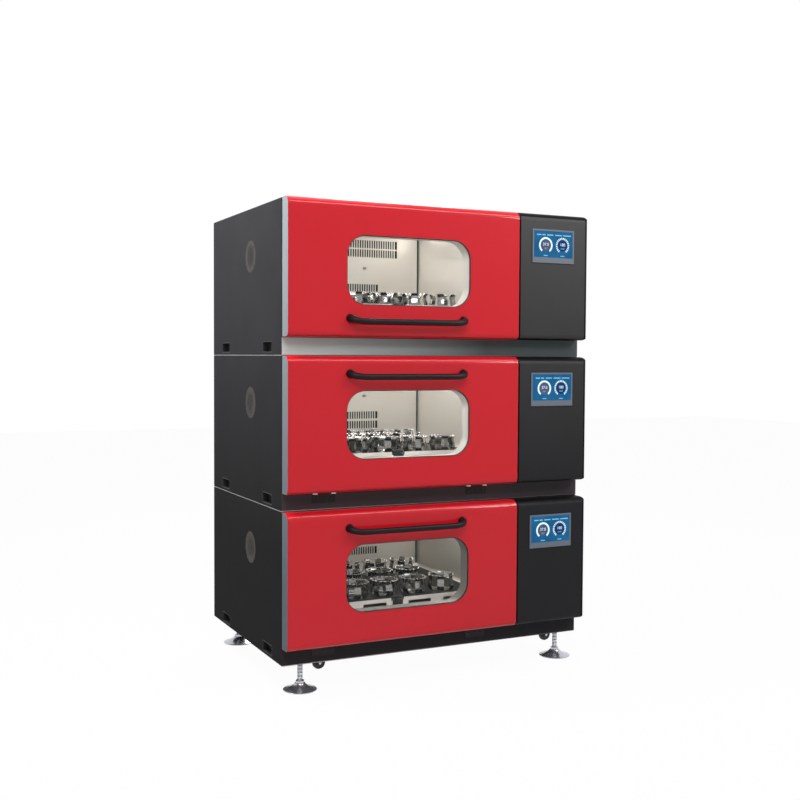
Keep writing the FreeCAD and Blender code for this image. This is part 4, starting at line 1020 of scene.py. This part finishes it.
# Seam cord between the units, on both sides
seam = {"x": (622.2, 624.4), "y": (3, 837), "z": (-1.1, 1.1)}
cups, seams = bmesh.new(), bmesh.new()
for unit in stack["names"]:
    for side in (-1, 1):
        for y in pocket["y"]:
            addCup(cups, unit, side, y)
        if unit != "bottom":
            addSlab(seams, unit, sorted(reach * side for reach in seam["x"]), seam["y"], seam["z"])
piece("pocketCups", cups, "blackPlastic", "cabinet")
piece("seamCords", seams, "seamGrey", "cabinet")
print("cabinets dressed")

# Levelling feet: pressed pad with its stem, lock nut and thread, as (radius, height)
foot = {"x": (-538, 562), "y": (45, 775),
        "pad": ((0, 0), (56, 0), (60, 0.6), (61.8, 2.2), (61.8, 3.8), (60.5, 4.8), (57, 5.6), (50, 7.4), (42, 10),
                (34, 13.4), (27, 17.6), (22.5, 21.6), (20.2, 24.4), (19, 26), (8.9, 26), (8.9, 133.5), (7.7, 135),
                (0, 135)),
        "nut": ((9.8, 25.5), (15, 25.5), (16.8, 26.8), (16.8, 34.8), (15, 36.1), (9.8, 36.1)),
        "thread": {"turns": 46, "radius": 9.1, "wire": 0.7, "steps": 16, "sides": 4}, "threaded": (37.5, 94)}
# Castors: rounded tyre and dished hub, outlined from the left side to the middle, and bright axle nuts
castor = {"x": (-423, 583), "y": (152, 668), "z": 60,
          "half": ((4.1, -9), (8, -9), (9, -7.5), (16.5, -7.5), (17.5, -9), (21, -9), (23.8, -6.8), (25, -4)),
          "nut": ((0, 0), (5.5, 0), (5.5, 2), (4.2, 3.2), (0, 3.6)), "nutReach": 13.5}
corners = {"front_left": (0, 0), "front_right": (1, 0), "back_left": (0, 1), "back_right": (1, 1)}


def cornerSpot(values, corner, z):
    column, line = corners[corner]
    return Vector(mm(values["x"][column], values["y"][line] + stack["front"], z))


def buildFoot(corner):
    where = cornerSpot(foot, corner, 0)
    pad, nut = bmesh.new(), bmesh.new()
    addTurned(pad, foot["pad"], where)
    addTurned(nut, foot["nut"], where, "z", 6)
    start, length = foot["threaded"]
    thread = moved(coil(foot["thread"], length, "brightZinc"), Matrix.Translation(where + Vector(mm(0, 0, start))))
    piece(f"{corner}_foot", [meshOf(pad), meshOf(nut), thread], "brightZinc", f"foot_{corner}",
          stands=(f"foot_{corner}",))


def buildCastor(corner):
    where = cornerSpot(castor, corner, castor["z"])
    wheel, nuts = bmesh.new(), bmesh.new()
    half = castor["half"]
    addTurned(wheel, half + tuple((r, -h) for r, h in reversed(half)) + half[:1], where, "y", 40)
    piece(f"{corner}_wheel", wheel, "blackPlastic", f"castor_wheel_{corner}", stands=(f"castor_wheel_{corner}",))
    for side in (-1, 1):
        addTurned(nuts, [(r, side * h) for r, h in castor["nut"]],
                  where + Vector(mm(0, side * castor["nutReach"], 0)), "y", 20)
    piece(f"{corner}_axleNuts", nuts, "brightZinc", f"castor_fork_{corner}")


for corner in corners:
    buildFoot(corner)
    buildCastor(corner)
print("feet and castors made")

# Floor, light and background: both are white where the camera, metal or glass sees them
stage = {"floor": 14, "thick": 0.02, "grey": (0.60, 0.60, 0.60, 1), "floorWhite": 0.97, "world": 0.30}


def seenShare(tree):
    path = addNode(tree, "ShaderNodeLightPath").outputs
    seen = mathNode(tree, "MAXIMUM", path["Is Camera Ray"], path["Is Glossy Ray"])
    return mathNode(tree, "MAXIMUM", seen, path["Is Transmission Ray"])


def floorMaterial():
    material, tree = newMaterial("paleFloor", {})[:2]
    tree.nodes.clear()
    plain = addNode(tree, "ShaderNodeBsdfDiffuse", None, {"Color": stage["grey"]})
    white = addNode(tree, "ShaderNodeEmission", None, {"Color": (1, 1, 1, 1), "Strength": 1.0})
    share = mathNode(tree, "MULTIPLY", seenShare(tree), stage["floorWhite"])
    mix = addNode(tree, "ShaderNodeMixShader", None, {0: share, 1: plain.outputs[0], 2: white.outputs[0]})
    addNode(tree, "ShaderNodeOutputMaterial", None, {0: mix.outputs[0]})
    return material


def setStage():
    floor = bmesh.new()
    reach = stage["floor"]
    addBox(floor, (-reach, -reach, -stage["thick"]), (reach, reach, 0))
    mesh = meshOf(floor)
    mesh.materials.append(floorMaterial())
    newObject("floor", mesh)
    world = bpy.data.worlds.new("studio")
    bpy.context.scene.world = world
    world.use_nodes = True
    tree = world.node_tree
    backdrop = tree.nodes["Background"]
    backdrop.inputs["Color"].default_value = (1, 1, 1, 1)
    strength = mathNode(tree, "MULTIPLY_ADD", seenShare(tree), 1 - stage["world"], stage["world"])
    feed(tree, backdrop, {"Strength": strength})


# Lamps: place, what they aim at, width and height, power
lamps = {
    "keyLight": ((-1.6, -3.2, 3.9), (0, 0, 0.9), (1.8, 1.8), 95),
    "fillLight": ((2.2, -2.6, 2.7), (0.3, -0.4, 1.2), (0.8, 0.8), 36),
    "stripLight": ((1.75, -2.4, 4.2), (1.75, -0.4, 1.0), (3.0, 0.6), 55),
    "sideLight": ((-1.6, 0.1, 3.0), (-0.7, 0.1, 1.2), (1.0, 1.0), 75),
    "backLight": ((2.1, 4.3, 3.2), (0, 0.4, 1.0), (1.2, 1.2), 70),
    "topLight": ((0.0, 0.6, 4.8), (0, 0, 0.9), (2.6, 2.6), 20),
    "bottomChamber": ((0.16, -0.12, 0.618), (-0.30, 0.15, 0.2), (0.30, 0.30), 1.6),
    "middleChamber": ((-0.16, -0.12, 1.171), (0.05, 0.10, 0.75), (0.30, 0.30), 4.4),
    "topChamber": ((-0.16, -0.12, 1.724), (0.05, 0.10, 1.3), (0.30, 0.30), 4.4),
    "bottomSill": ((-0.15, -0.335, 0.585), (-0.15, -0.30, 0.27), (0.5, 0.03), 0.16),
    "middleSill": ((-0.15, -0.335, 1.138), (-0.15, -0.30, 0.823), (0.5, 0.03), 0.12),
    "topSill": ((-0.15, -0.335, 1.691), (-0.15, -0.30, 1.376), (0.5, 0.03), 0.12),
}


def setLamps():
    for name, (spot, aim, (width, height), power) in lamps.items():
        light = bpy.data.lights.new(name, "AREA")
        light.shape = "RECTANGLE"
        light.size, light.size_y, light.energy = width, height, power
        holder = newObject(name, light)
        turn = (Vector(aim) - Vector(spot)).to_track_quat("-Z", "Y").to_matrix().to_4x4()
        holder.matrix_world = Matrix.Translation(spot) @ turn
        holder.visible_camera = False


setStage()
setLamps()
bpy.context.scene.view_settings.view_transform = "Standard"
print("stage set")
